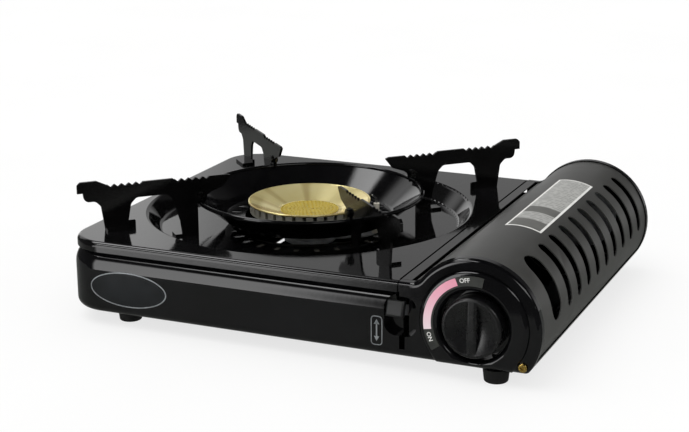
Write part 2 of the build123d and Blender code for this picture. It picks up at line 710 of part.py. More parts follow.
def make_arm():
    """One pan support arm, lying along +X from the burner's axis."""
    tip = bowl_rim_radius - arm_overhang
    low_top = arm_top - arm_step
    bar = arm_top - arm_bar
    step = arm_inner_foot + arm_corner + arm_step_run
    rise = arm_outer_foot - arm_rise_start
    hook = arm_peak - arm_hook_height
    leg = arm_outer_foot - outer_leg_width
    inner_leg = arm_inner_foot - inner_leg_width
    seat = plate_top + arm_seat
    rim = bowl_rim_height + 2 * seat_gap
    ear = rivet_r - ear_radius
    outline = Polygon(
        (tip, low_top - 2 * arm_step), (tip, low_top - arm_step), (tip + arm_tip, low_top),
        (step, low_top), (step + arm_step_run, arm_top), (rise, arm_top), (rise + arm_rise_run, arm_peak),
        (arm_end - arm_tip, arm_peak), (arm_end, arm_peak - arm_tip), (arm_end, hook),
        (arm_end - arm_hook_width, hook), (arm_end - arm_hook_width - arm_step, bar),
        (arm_outer_foot + arm_flare + arm_corner, bar), (arm_outer_foot + arm_flare, bar - arm_corner),
        (arm_outer_foot, seat), (leg - arm_lug, seat), (leg - arm_lug, seat + arm_lug_height - arm_step),
        (leg - arm_lug + arm_step, seat + arm_lug_height), (leg, seat + arm_lug_height),
        (leg - arm_flare, bar - arm_corner),
        (leg - arm_flare - arm_corner, bar), (arm_inner_foot + arm_inner_flare + arm_corner, bar),
        (arm_inner_foot + arm_inner_flare, bar - arm_corner), (arm_inner_foot + arm_inner_slope, plate_top),
        (arm_inner_foot, well_floor + arm_seat), (inner_leg, well_floor + arm_seat), (inner_leg, rim),
        (ear, rim), (ear - arm_step, rim + arm_corner), (ear - arm_corner, rim + arm_corner + arm_tip),
        (tip + arm_beak_run, low_top - arm_beak), align=None)
    for heights, radius in (((bar, bar - arm_corner), arm_round),
                            ((arm_peak, arm_peak - arm_tip), arm_end_round)):
        corners = [v for v in outline.vertices() if min(abs(v.Y - height) for height in heights) < 0.01]
        outline = fillet(corners, radius)
    tooth = Polygon((0, -tooth_depth), (tooth_width, tooth_depth), (-tooth_width, tooth_depth), align=None)
    run = (tooth_count - 1) * tooth_pitch
    for end, height in ((step - tooth_margin, low_top), (rise - tooth_margin, arm_top)):
        for i in range(tooth_count):
            outline -= Pos(end - run + i * tooth_pitch, height) * tooth
    outline -= Pos(rivet_r, rivet_z) * Circle(rivet_radius + screw_clearance)
    half = arm_thickness / 2
    arm = prism_y(outline, -half, half)
    arm += block(leg, arm_outer_foot, -half, half + arm_foot_width, seat, seat + arm_thickness)
    seat = well_floor + arm_seat
    toe = arm_inner_foot + arm_toe
    arm += block(inner_leg, toe, -half - arm_foot_width, half, seat, seat + arm_thickness)
    return arm


def make_rivets():
    reach = arm_thickness / 2
    rivet = rod((rivet_r, -reach - ear_thickness, rivet_z), (rivet_r, reach, rivet_z), rivet_radius)
    for y, way in ((reach, 1), (-reach - ear_thickness, -1)):
        rivet += rod((rivet_r, y, rivet_z), (rivet_r, y + way * rivet_head, rivet_z),
                     rivet_radius + rivet_head)
    return Compound(around(rivet, 4, arm_first))


# ------------------------------------------------------------------ burner
def make_burner_head():
    slope = (cap_cone_top - cap_well_floor) / (cap_cone_radius - cap_well_radius)
    under = cap_well_floor - cap_sheet / 2 * sqrt(1 + slope ** 2) - cap_seat

    def seat(r):
        return under + slope * (r - cap_well_radius)

    inner, outer = head_radius - head_wall, head_radius
    throat = chamber_radius - tube_wall - running_gap
    bore = throat - head_throat_wall
    wall = Polygon((throat, chamber_top - head_socket), (throat, chamber_top),
                   (throat + head_throat_wall, chamber_top), (outer, head_skirt),
                   (outer, seat(inner) + head_lip), (outer - head_lip, seat(outer - head_lip)),
                   (inner, seat(inner)), (inner, head_skirt + head_throat_wall),
                   (bore, chamber_top + head_throat_wall), (bore, chamber_top - head_socket), align=None)
    head = Pos(burner_x, 0, 0) * revolve(Plane.XZ * wall, axis=Axis.Z)
    port = block(inner - 1, outer + 1, -port_width / 2, port_width / 2,
                 seat(inner) - port_depth, seat(outer) + 1)
    for cut in around(port, ports):
        head -= cut
    return head


def make_burner_cap():
    path = FilletPolyline((0, cap_well_floor), (cap_well_radius, cap_well_floor),
                          (cap_cone_radius, cap_cone_top), radius=cap_bend)
    cap = turned(path, cap_sheet)
    bead = Pos(cap_radius - cap_bead, cap_cone_top) * Circle(cap_bead)
    return cap + Pos(burner_x, 0, 0) * revolve(Plane.XZ * bead, axis=Axis.Z)


def make_mesh():
    """Pierced disc that lies in the cap's well."""
    disc = Circle(cap_well_radius - mesh_margin)
    for ring in range(1, mesh_rings + 1):
        disc -= PolarLocations(ring * mesh_pitch, 6 * ring) * Circle(mesh_hole)
    return Pos(burner_x, 0, cap_well_floor + cap_sheet / 2) * extrude(disc, amount=mesh_thickness)


def along_tube(distance):
    """A point on the mixing tube's axis, measured from the burner's axis."""
    return (burner_x + distance * (jet_x - burner_x) / jet_run, distance * jet_y / jet_run, tube_height)


def make_mixing_tube():
    """Chamber under the burner, the tube that mixes gas and air, and its flared mouth."""
    chamber = Pos(burner_x, 0, 0) * (rod((0, 0, chamber_bottom), (0, 0, chamber_top), chamber_radius))
    tube = rod(along_tube(0), along_tube(tube_end), tube_radius)
    mouth = rod(along_tube(tube_end - mouth_length / 2), along_tube(tube_end + mouth_length / 2), mouth_radius)
    hollow = Pos(burner_x, 0, 0) * rod((0, 0, chamber_bottom + tube_wall), (0, 0, chamber_top + 1),
                                       chamber_radius - tube_wall)
    hollow += rod(along_tube(0), along_tube(tube_end + mouth_length), tube_radius - tube_wall)
    for angle in (0, 120, 240):
        middle = Vector(along_tube(tube_end))
        turn = Rot(0, 0, degrees(atan2(jet_y, jet_x - burner_x))) * Rot(angle, 0, 0)
        window = Box(mouth_length / 3, window_width, mouth_radius)
        hollow += Pos(middle) * turn * Pos(0, 0, mouth_radius) * window
    return chamber + tube + mouth - hollow


def make_jet():
    start, end = Vector(along_tube(jet_start)), Vector(along_tube(jet_start + jet_length))
    along = (end - start).normalized()
    nut = Plane(origin=start, z_dir=along) * extrude(RegularPolygon(jet_radius, 6), amount=jet_length)
    nut += rod(end, end + along * jet_length, jet_shank)
    return nut - rod(start - along, end + along * 2 * jet_length, jet_hole)


def make_burner_bracket():
    """Bent strap that carries the burner's chamber on the case's floor."""
    top = chamber_bottom
    half = bracket_width / 2
    strap = block(burner_x - bracket_leg, burner_x + bracket_leg, -half, half, top - bracket_sheet, top)
    for side in (-1, 1):
        x = burner_x + side * bracket_leg
        foot = burner_x + side * bracket_foot
        strap += block(min(x, x - side * bracket_sheet), max(x, x - side * bracket_sheet), -half, half,
                       floor_top, top)
        strap += block(min(x, foot), max(x, foot), -half, half, floor_top, floor_top + bracket_sheet)
    for x in bracket_screw_xs:
        strap -= rod((x, 0, 0), (x, 0, top), screw_radius + screw_clearance)
    return strap


def pan_screw(base, way, length):
    """A pan head screw: its head stands on base and its shank runs the other way."""
    base, way = Vector(base), Vector(way)
    head = fillet(Cylinder(screw_head, screw_head_height).edges().sort_by(Axis.Z)[-1], screw_head_height / 2)
    for turn in (0, 90):
        cross = Rot(0, 0, turn) * Box(screw_head, screw_cross, screw_head_height)
        head -= Pos(0, 0, screw_head_height / 2) * cross
    head = Plane(origin=base + way * (screw_head_height / 2), z_dir=way) * head
    return head + rod(base, base - way * length, screw_radius)


# ------------------------------------------------------------------ gas
def make_regulator_body():
    body = drum(drum_radius, -drum_front, -drum_split, z=drum_height)
    body += drum(barrel_radius, -barrel_front, -drum_front + 1)
    body += block(jet_x - 1, jet_x - 1 + block_width, -drum_split - block_length,
                  -drum_split - running_gap, tube_height - block_drop, drum_height)
    start = Vector(along_tube(jet_start + jet_length))
    end = Vector(along_tube(jet_start + jet_length + jet_boss_length))
    body += rod(start, end, jet_boss)
    body -= rod(start, end, jet_shank + running_gap)
    body -= drum(spindle_radius + running_gap, -barrel_front - 1, -spindle_end + 1)
    for x in regulator_screw_xs:
        body -= drum(screw_radius + screw_clearance, -drum_front - 1, -drum_front + regulator_screw_length,
                     x=x, z=regulator_screw_z)
    return body


def make_regulator_cover():
    cover = drum(drum_radius, -drum_split, -drum_split + cover_thickness, z=drum_height)
    ring = cover.edges().filter_by(GeomType.CIRCLE).sort_by(Axis.Y)[-1]
    return fillet(ring, cover_edge)


def make_socket():
    """Collar that takes the cartridge's neck, with the pin that opens its valve."""
    y = -drum_split + cover_thickness
    collar = drum(socket_radius, y, y + socket_length, z=can_height)
    collar -= drum(socket_radius - socket_wall, y + socket_floor, y + socket_length + 1, z=can_height)
    collar -= block(arch_x - socket_notch / 2, arch_x + socket_notch / 2, y + socket_floor,
                    y + socket_length + 1, can_height, can_height + 2 * socket_radius)
    return collar + drum(socket_pin, y + socket_floor / 2, y + socket_length - socket_floor / 2, z=can_height)


def make_regulator_bracket():
    y = -drum_front
    half = drum_radius + regulator_plate_margin
    plate = block(arch_x - half, arch_x + half, y - bracket_sheet, y,
                  floor_top, drum_height + drum_radius - regulator_plate_drop)
    plate += block(arch_x - half, arch_x + half, y - bracket_sheet, y + regulator_foot,
                   floor_top, floor_top + bracket_sheet)
    plate -= drum(barrel_radius + running_gap, y - 2 * bracket_sheet, y + bracket_sheet)
    for x in regulator_screw_xs:
        plate -= drum(screw_radius + screw_clearance, y - 2 * bracket_sheet, y + bracket_sheet,
                      x=x, z=regulator_screw_z)
    return plate


def make_cradle():
    """Two saddles on a common base that hold the cartridge's side."""
    base = block(arch_x - cradle_base, arch_x + cradle_base, cradle_ys[0] - cradle_end,
                 cradle_ys[1] + cradle_end, floor_top, floor_top + cradle_wall)
    low, high = floor_top, can_height - cradle_drop
    saddle = Pos(arch_x, (low + high) / 2) * Rectangle(2 * cradle_saddle, high - low)
    saddle -= Pos(arch_x, can_height) * Circle(can_radius + saddle_gap)
    for y in cradle_ys:
        base += prism_y(saddle, y - cradle_wall / 2, y + cradle_wall / 2)
    return base


# ------------------------------------------------------------------ ignition
def make_piezo():
    half = piezo_size / 2
    body = block(piezo_left, piezo_right, piezo_y - half, piezo_y + half,
                 arch_height - half, arch_height + half)
    body = fillet(body.edges().filter_by(Axis.X), piezo_edge)
    bore_end = plunger_back - cam_ramp - plunger_gap
    return body - rod((bore_end, piezo_y, arch_height), (piezo_right + 1, piezo_y, arch_height),
                      plunger_radius + running_gap)


def make_plunger():
    shaft = rod((plunger_back, piezo_y, arch_height), (plunger_tip, piezo_y, arch_height), plunger_radius)
    return fillet(shaft.edges().sort_by(Axis.X)[-1], plunger_radius / 2)


def make_cam():
    """A collar on the spindle whose ramp pushes the igniter's plunger as the knob turns."""
    steps = 24
    points = []
    for i in range(steps, -1, -1):
        angle = 180 - knob_travel * i / steps
        r = cam_radius + cam_ramp * i / steps
        points.append((arch_x + r * cos(radians(angle)), arch_height + r * sin(radians(angle))))
    ramp = Polygon((arch_x, arch_height), *points, align=None)
    outline = ramp + Pos(arch_x, arch_height) * Circle(cam_radius)
    outline -= Pos(arch_x, arch_height) * Circle(spindle_radius + spindle_seat)
    return prism_y(outline, -cam_front, -cam_front + cam_thickness)


def at_electrode(radius, height):
    """A point in the electrode's upright plane."""
    angle = radians(electrode_angle)
    return (burner_x + radius * cos(angle), radius * sin(angle), height)


def make_electrode_wire():
    path = Polyline(at_electrode(electrode_radius, electrode_head - wire_socket),
                    at_electrode(electrode_radius, cap_cone_top - electrode_bend),
                    at_electrode(cap_radius + electrode_tip, cap_cone_top + electrode_wire_radius))
    wire = None
    for edge in path.edges():
        piece = rod(edge @ 0, edge @ 1, electrode_wire_radius) + Pos(edge @ 1) * Sphere(electrode_wire_radius)
        wire = piece if wire is None else wire + piece
    return wire


def make_electrode_insulator():
    body = rod(at_electrode(electrode_radius, electrode_bottom),
               at_electrode(electrode_radius, electrode_head), electrode_insulator_radius)
    collar = strap_height + strap_sheet
    body += rod(at_electrode(electrode_radius, collar), at_electrode(electrode_radius, collar + collar_height),
                electrode_insulator_radius + electrode_collar)
    body -= rod(at_electrode(electrode_radius, electrode_head - wire_socket),
                at_electrode(electrode_radius, electrode_head + 1), electrode_wire_radius + running_gap)
    return body


def make_electrode_bracket():
    """Strap from the burner's chamber to the electrode."""
    length = electrode_radius + strap_end
    strap = Pos(length / 2, 0) * Rectangle(length, strap_width) + Circle(chamber_radius + strap_end)
    strap -= Circle(chamber_radius + running_gap)
    strap -= Pos(electrode_radius, 0) * Circle(electrode_insulator_radius + running_gap)
    strap = Rot(0, 0, electrode_angle) * strap
    return Pos(burner_x, 0, strap_height) * extrude(strap, amount=strap_sheet)


def lead_radii(points):
    """The largest comfortable bend at each corner of a run of wire."""
    radii = []
    for a, b, c in zip(points, points[1:], points[2:]):
        run_in, run_out = Vector(b) - Vector(a), Vector(c) - Vector(b)
        half_turn = radians(run_in.get_angle(run_out)) / 2
        radii.append(0.45 * min(run_in.length, run_out.length) / tan(half_turn))
    return radii


def make_lead():
    end = at_electrode(electrode_radius, electrode_bottom)
    start = (piezo_left + lead_inset, piezo_y + piezo_size / 2 + lead_radius / 3,
             arch_height + lead_start_rise)
    points = [start, (start[0], lead_turn - drum_split, lead_high[2]), lead_high, lead_low,
              (end[0] + lead_swing, end[1] - lead_swing / 3, end[2] - 6 * lead_radius),
              (end[0], end[1], end[2] - 8 * lead_radius), end]
    path = FilletPolyline(*points, radius=lead_radii(points))
    return sweep(Plane(origin=path @ 0, z_dir=path % 0) * Circle(lead_radius), path=path)


# ------------------------------------------------------------------ cartridge lid
def make_lid():
    """A rolled sheet: its arc, a small reverse bend, a flat flange and the knuckle round the hinge pins."""
    low = -degrees(asin((arch_height - lid_lower_height) / lid_middle))
    high = 180 - degrees(lid_rise)
    bend_x, bend_z = hinge_x + hinge_flat, flange_z + lid_bend
    arc = CenterArc((arch_x, arch_height), lid_middle, low, high - low)
    bend = CenterArc((bend_x, bend_z), lid_bend, -90, 90 - degrees(lid_rise))
    flat = Line((bend_x, flange_z), (hinge_x, flange_z))
    curl = CenterArc((hinge_x, hinge_z), knuckle_radius, 90, 270)
    outline = trace([arc, bend, flat, curl], line_width=sheet)
    lid = prism_y(outline, -cap_inner + lid_gap, cap_inner - lid_gap)
    places = [(first_slot + slot_pitch * i, slot_width) for i in range(slot_count)]
    for y, width in places + [(wide_slot, wide_slot_width)]:
        lid -= lid_slot(y, width)
    return lid


def lid_slot(y, width):
    """Cutter for one cooling slot with round ends."""
    radius = width / 2
    trim = degrees(radius / lid_radius)
    angles = [slot_bottom_angle + trim, slot_top_angle - trim]
    fan = [angles[0] + (angles[1] - angles[0]) * i / 4 for i in range(5)]
    far = 1.3 * lid_radius
    points = [(arch_x + far * cos(radians(a)), arch_height + far * sin(radians(a))) for a in fan]
    cutter = prism_y(Polygon((arch_x, arch_height), *points, align=None), y - radius, y + radius)
    for angle in angles:
        reach = (arch_x + far * cos(radians(angle)), arch_height + far * sin(radians(angle)))
        cutter += rod((arch_x, y, arch_height), (reach[0], y, reach[1]), radius)
    return cutter


def make_hinge_pins():
    pins = [rod((hinge_x, y * (half_depth - pin_inset), hinge_z),
                (hinge_x, y * (half_depth - pin_inset - pin_length), hinge_z), hinge_pin_radius)
            for y in (-1, 1)]
    return Compound(pins)


# ------------------------------------------------------------------ knob
def make_knob():
    """A disc with a hollowed face and a rounded grip across it."""
    back = knob_face - knob_depth
    disc = drum(knob_radius, -knob_face, -back)
    disc = fillet(disc.edges().filter_by(GeomType.CIRCLE).sort_by(Axis.Y)[0], knob_edge)
    dish_radius = (knob_radius - knob_rim) ** 2 / (2 * knob_dish) + knob_dish / 2
    dish = Pos(arch_x, knob_dish - dish_radius - knob_face, arch_height) * Sphere(dish_radius)
    half = knob_grip_width / 2
    grip = block(arch_x - half, arch_x + half, -knob_face, -back,
                 arch_height - knob_radius, arch_height + knob_radius)
    grip = fillet(grip.edges().filter_by(Axis.Z).sort_by(Axis.Y)[:2], knob_grip_round)
    knob = (disc - dish) + (disc & grip)
    knob += drum(spindle_radius + knob_wall, -back - 1, -back + knob_hub_length)
    return knob - drum(spindle_radius + spindle_seat, -spindle_front - running_gap, 0)


# ------------------------------------------------------------------ cartridge lock
def lever_point(reach, angle):
    """A point in the lever's plane: Y and Z at a distance and an angle above the way to the front."""
    a = radians(angle)
    return (lever_pivot_y - reach * cos(a), lever_pivot_z + reach * sin(a))


def make_lever():
    """Steel plate with a hub, an arm out to the tab and a crank up to the rail."""
    crank = lever_point(lever_crank, crank_angle)
    eye = lever_crank_pin + lever_crank_wall
    plate = Pos(lever_pivot_y, lever_pivot_z) * Circle(lever_hub_radius) + Pos(*crank) * Circle(eye)
    for angle, reach, width in ((lever_up, lever_reach + lever_stem_insert, lever_stem_width),
                                (crank_angle, lever_crank, 2 * eye)):
        bar = Pos(-reach / 2, 0) * Rectangle(reach, width)
        plate += Pos(lever_pivot_y, lever_pivot_z) * Rot(0, 0, -angle) * bar
    plate -= Pos(lever_pivot_y, lever_pivot_z) * Circle(lever_pin_radius + running_gap)
    half = lever_thickness / 2
    lever = prism_x(plate, lever_x - half, lever_x + half)
    pin_end = rail_x + rail_thickness / 2 + lever_pin_end
    return lever + rod((lever_x, crank[0], crank[1]), (pin_end, crank[0], crank[1]), lever_crank_pin)


def make_lever_tab():
    """Plastic grip, curved about the pivot so that it clears the case's front all the way."""
    near, far = lever_reach, lever_reach + lever_tab_thickness
    fan = [(-2 * far * cos(radians(a)), 2 * far * sin(radians(a)))
           for a in (lever_up - lever_tab_angle / 2, lever_up, lever_up + lever_tab_angle / 2)]
    outline = (Circle(far) - Circle(near)) & Polygon((0, 0), *fan, align=None)
    tab = prism_x(Pos(lever_pivot_y, lever_pivot_z) * outline, lever_tab_left, lever_tab_right)
    tab = fillet(tab.faces().sort_by(Axis.Y)[0].edges(), lever_tab_edge)
    a = radians(lever_up)
    stem = Plane(origin=(lever_x, lever_pivot_y, lever_pivot_z), x_dir=(1, 0, 0), z_dir=(0, -cos(a), sin(a)))
    stem *= Box(lever_thickness + 2 * running_gap, lever_stem_width + 2 * running_gap,
                lever_reach + lever_stem_insert + running_gap, align=(Align.CENTER, Align.CENTER, Align.MIN))
    return tab - stem


def make_rail():
    """Flat rail with the round plate that pushes the cartridge's base."""
    half = rail_thickness / 2
    rail_back = can_back + rail_gap_back
    rail = block(rail_x - half, rail_x + half, rail_front, rail_back + rail_thickness, rail_bottom, rail_top)
    rail = fillet(rail.edges().filter_by(Axis.X), rail_edge)
    rail += block(rail_x - half, arch_x, rail_back, rail_back + rail_thickness, rail_bottom, rail_top)
    rail += drum(pusher_radius, rail_back, rail_back + rail_thickness, z=can_height)
    slot = SlotOverall(rail_slot, 2 * (lever_crank_pin + rail_pin_room), rotation=90)
    slot = Pos(*lever_point(lever_crank, crank_angle)) * slot
    return rail - prism_x(slot, rail_x - rail_thickness, rail_x + rail_thickness)


def make_rail_guides():
    """Two bent guides on the partition; the rail slides between their lips."""
    left = partition_x + sheet / 2
    x0, x1 = rail_x - rail_thickness / 2 - rail_clearance, rail_x + rail_thickness / 2 + rail_clearance
    z0, z1 = rail_bottom - rail_clearance, rail_top + rail_clearance
    wall = guide_sheet
    solids = []
    for y in guide_ys:
        a, b = y - guide_length / 2, y + guide_length / 2
        guide = block(left, left + wall, a, b, z0 - guide_base, z1 + guide_base)
        guide += block(left, x1 + wall, a, b, z0 - wall, z0)
        guide += block(left, x1 + wall, a, b, z1, z1 + wall)
        guide += block(x1, x1 + wall, a, b, z0 - wall, z0 + guide_lip)
        guide += block(x1, x1 + wall, a, b, z1 - guide_lip, z1 + wall)
        guide += block(x0 - wall, x0, a, b, z0 - wall, z1 + wall)
        solids.append(guide)
    return Compound(solids)


def make_partition():
    """Upright sheet between the burner's side and the cartridge bay."""
    half = sheet / 2
    wall = block(partition_x - half, partition_x + half, -partition_front, partition_rear,
                 floor_top, plate_under)
    wall -= rod(along_tube(tube_end / 2), along_tube(tube_end), tube_radius + tube_wall)
    way = Vector(lead_low) - Vector(lead_high)
    middle = Vector(lead_high) + way * ((partition_x - lead_high[0]) / way.X)
    way = way.normalized() * (lead_radius + lead_hole) * 2
    return wall - rod(middle - way, middle + way, lead_radius + lead_hole)


# ------------------------------------------------------------------ small pieces
def make_foot(x, y):
    foot = Cone(foot_radius - foot_taper, foot_radius, case_bottom,
                align=(Align.CENTER, Align.CENTER, Align.MIN))
    foot = fillet(foot.edges().sort_by(Axis.Z)[0], foot_edge)
    barb = floor_top + foot_stem_gap / 2
    foot += rod((0, 0, case_bottom - 1), (0, 0, barb + foot_barb), foot_stem_radius)
    foot += rod((0, 0, barb), (0, 0, barb + foot_barb), foot_stem_radius + foot_barb)
    return Pos(x, y, 0) * foot


def make_dial():
    ring = Circle(dial_outer_radius) - Circle(dial_inner_radius)
    far = 4 * dial_outer_radius
    dial_middle = (dial_start + dial_end) / 2
    wedge = Polygon((0, 0), *[(far * cos(radians(a)), far * sin(radians(a)))
                              for a in (dial_start, dial_middle, dial_end)], align=None)
    return prism_y(Pos(arch_x, arch_height) * (ring & wedge), -boss_front - dial_thickness, -boss_front)


# ------------------------------------------------------------------ the set
arm = make_arm()
arm_names = ("back_right", "back_left", "front_left", "front_right")
arms = dict(zip(arm_names, around(arm, 4, arm_first)))
foot_names = ("front_right", "front_left", "back_right", "back_left")

pieces = {
    "lower_case": make_case(),
    "top_plate": make_top_plate(),
    "heat_partition": make_partition(),
    "drip_bowl": make_bowl(),
    "support_rivets": make_rivets(),
    "burner_head": make_burner_head(),
    "burner_cap": make_burner_cap(),
    "burner_mesh": make_mesh(),
    "mixing_tube": make_mixing_tube(),
    "jet_nozzle": make_jet(),
    "burner_bracket": make_burner_bracket(),
    "burner_screws": Compound([pan_screw((x, 0, floor_top + bracket_sheet), (0, 0, 1),
                                         bracket_screw_length) for x in bracket_screw_xs]),
    "regulator_body": make_regulator_body(),
    "regulator_cover": make_regulator_cover(),
    "cartridge_socket": make_socket(),
    "regulator_bracket": make_regulator_bracket(),
    "regulator_screws": Compound([pan_screw((x, -drum_front - bracket_sheet, regulator_screw_z), (0, -1, 0),
                                           regulator_screw_length) for x in regulator_screw_xs]),
    "cartridge_cradle": make_cradle(),
    "piezo_igniter": make_piezo(),
    "igniter_plunger": make_plunger(),
    "igniter_cam": make_cam(),
    "igniter_lead": make_lead(),
    "electrode_wire": make_electrode_wire(),
    "electrode_insulator": make_electrode_insulator(),
    "electrode_bracket": make_electrode_bracket(),
    "cartridge_lid": make_lid(),
    "lid_hinge_pins": make_hinge_pins(),
    "control_knob": make_knob(),
    "valve_spindle": drum(spindle_radius, -spindle_front, -spindle_end),
    "dial_ring": make_dial(),
    "lock_lever": make_lever(),
    "lever_tab": make_lever_tab(),
    "lever_pivot_pin": rod((partition_x + sheet / 2, lever_pivot_y, lever_pivot_z),
                           (lever_x + lever_thickness / 2 + lever_pin_end, lever_pivot_y, lever_pivot_z),
                           lever_pin_radius),
    "pusher_rail": make_rail(),
    "rail_guides": make_rail_guides(),
    "panel_screws": Compound([pan_screw((panel_screw_x, y * panel_front, panel_screw_z), (0, y, 0),
                                       screw_length) for y in (-1, 1)]),
}
pieces.update({"support_arm_" + name: shape for name, shape in arms.items()})
pieces.update({"foot_" + name: make_foot(*place) for name, place in zip(foot_names, foot_places)})

for name, shape in pieces.items():
    export_step(Pos(0, setback, 0) * shape, "parts/" + name + ".step")
    print(name, round(shape.volume), len(shape.solids()), shape.is_valid)
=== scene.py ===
# %% [markdown]
# # A butane cassette stove
# A cassette stove is a low pressed steel case with a burner on the left and a bay for a gas cartridge on the
# right, under a hinged lid. Its solids come from the CAD model, each in its place. This lesson gives them their
# finishes, adds the printed film and the fine trim that a CAD model leaves out, and sets up camera and light.
# Everything is in metres, +Z up, with the user standing at -Y.

# %% Load the stove
from math import cos, degrees, hypot, radians, sin

import bpy
from mathutils import Matrix, Vector


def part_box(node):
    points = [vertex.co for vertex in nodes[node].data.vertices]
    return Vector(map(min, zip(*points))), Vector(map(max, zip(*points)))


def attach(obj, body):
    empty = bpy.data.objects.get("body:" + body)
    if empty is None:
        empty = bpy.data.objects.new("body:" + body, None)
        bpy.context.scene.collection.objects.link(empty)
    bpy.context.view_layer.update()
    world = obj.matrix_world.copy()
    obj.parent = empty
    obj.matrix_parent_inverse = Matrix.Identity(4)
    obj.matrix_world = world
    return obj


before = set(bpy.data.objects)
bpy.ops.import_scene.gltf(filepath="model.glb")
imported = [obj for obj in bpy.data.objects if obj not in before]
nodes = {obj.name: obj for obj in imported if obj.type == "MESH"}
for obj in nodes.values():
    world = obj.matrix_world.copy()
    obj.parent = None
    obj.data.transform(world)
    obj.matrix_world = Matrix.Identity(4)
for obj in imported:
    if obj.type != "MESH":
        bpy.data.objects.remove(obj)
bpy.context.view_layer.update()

# %% [markdown]
# Places on the stove are read from the solids themselves, so that the trim follows them. The knob turns about
# the middle of its own box. The lid is part of a drum about the same axis, so its radius is the height of its
# top above that axis. The burner's middle is that of its cap. The knob stands out at the front, so the case's
# own middle lies a little behind the middle of the whole stove.

# %% Places on the stove
knob_low, knob_high = (Vector(corner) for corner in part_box("control_knob"))
knob_x, knob_z = (knob_low.x + knob_high.x) / 2, (knob_low.z + knob_high.z) / 2
dial_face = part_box("dial_ring")[0][1]
lid_radius = Vector(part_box("cartridge_lid")[1]).z - knob_z
cap_low, cap_high = (Vector(corner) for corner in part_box("burner_cap"))
burner_x, burner_y = (cap_low.x + cap_high.x) / 2, (cap_low.y + cap_high.y) / 2
bead_height = 0.0018              # the raised bead of the front stands this far off the wall
setback = 0.00185                 # the case's middle lies this far behind the whole stove's
wall_face = Vector(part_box("lower_case")[0]).y + bead_height
film = 0.00012                    # thickness of a printed label or film
print("knob axis", round(knob_x, 4), round(knob_z, 4), "lid radius", round(lid_radius, 4),
      "front wall", round(wall_face, 4))

# %% [markdown]
# A colour on a screen is written in sRGB, while a render adds light in linear values. One function turns the
# first into the second, and another adds a node with its settings and its links, so that each material below
# reads like a recipe.

# %% Colour and node helpers
def colour(code):
    """Linear colour of an sRGB hex code such as '#c8a45a'."""
    parts = [int(code[i:i + 2], 16) / 255 for i in (1, 3, 5)]
    return tuple(c / 12.92 if c <= 0.04045 else ((c + 0.055) / 1.055) ** 2.4 for c in parts) + (1.0,)


def add(tree, kind, inputs=None, stops=(), **settings):
    """Add a node. Settings go to its options or inputs by name, and stops to its colour ramp.

    What inputs holds goes to the input of that name or number: a socket is linked, anything else is its value.
    """
    node = tree.nodes.new(kind)
    for name, value in settings.items():
        if hasattr(node, name):
            setattr(node, name, value)
        else:
            node.inputs[name.replace("_", " ")].default_value = value
    for number, (position, shade) in enumerate(stops):
        if number == len(node.color_ramp.elements):
            node.color_ramp.elements.new(position)
        element = node.color_ramp.elements[number]
        element.position, element.color = position, shade
    for name, value in (inputs or {}).items():
        if isinstance(value, bpy.types.NodeSocket):
            tree.links.new(value, node.inputs[name])
        else:
            node.inputs[name].default_value = value
    return node


print("mid grey", [round(v, 3) for v in colour("#808080")])

# %% [markdown]
# Every finish on the stove shares one build: a base colour that drifts a little from place to place, a
# roughness that varies with handling, and a bump at the scale of the real surface. Each of these comes from
# noise on Object coordinates, which are metres here, so a noise scale is one over a size in metres.
# What is the same all over, such as metallic or the index, is set straight on the shader.

# %% The shared build of a finish
tint_range = (0.35, 0.65)         # most of a noise's values lie in here
gloss_range = (0.3, 0.7)          # and nearly all of them in here
roles = ("grain", "tint", "gloss", "bump", "surface", "output")


def per_metre(size_mm):
    """Noise scale of a pattern whose features are size_mm wide."""
    return 1000.0 / size_mm


def finish(name, low, high, rough, patch_mm, grain_mm, grain_depth, **shader):
    """A material: colour between two hex codes, roughness between two values, and a fine bump."""
    material = bpy.data.materials.new(name)
    material.use_nodes = True
    tree = material.node_tree
    tree.nodes.clear()
    place = add(tree, "ShaderNodeTexCoord").outputs["Object"]
    patch = add(tree, "ShaderNodeTexNoise", {"Vector": place}, Scale=per_metre(patch_mm), Detail=4.0,
                Roughness=0.55)
    grain = add(tree, "ShaderNodeTexNoise", {"Vector": place}, Scale=per_metre(grain_mm), Detail=3.0,
                Roughness=0.6)
    tint = add(tree, "ShaderNodeValToRGB", {"Fac": patch.outputs["Fac"]},
               stops=zip(tint_range, (colour(low), colour(high))))
    gloss = add(tree, "ShaderNodeMapRange", {"Value": patch.outputs["Fac"]}, From_Min=gloss_range[0],
                From_Max=gloss_range[1], To_Min=rough[0], To_Max=rough[1])
    bump = add(tree, "ShaderNodeBump", {"Height": grain.outputs["Fac"]}, Strength=1.0, Distance=grain_depth)
    surface = add(tree, "ShaderNodeBsdfPrincipled",
                  {"Base Color": tint.outputs["Color"], "Roughness": gloss.outputs["Result"],
                   "Normal": bump.outputs["Normal"]}, **shader)
    output = add(tree, "ShaderNodeOutputMaterial", {"Surface": surface.outputs["BSDF"]})
    material["made_of"] = [node.name for node in (grain, tint, gloss, bump, surface, output)]
    return material


def parts_of(material):
    """The tree of a finish and its nodes by their role, for what a single finish adds."""
    tree = material.node_tree
    return tree, {role: tree.nodes[name] for role, name in zip(roles, material["made_of"])}


print("a finish is made of", ", ".join(roles))

# %% [markdown]
# ## Vitreous enamel
# Case, top plate, bowl and pan supports are pressed steel dipped in black glass frit and fired. It is glass on
# metal: almost black, a mirror at glancing angles, with a faint orange peel a few millimetres across where the
# glass flowed. Glass has an index near 1.5. The plate gathers a little dust, which a sparse speckle draws.

# %% Enamels
drift_mm = 60.0                   # dust lies in drifts of this size


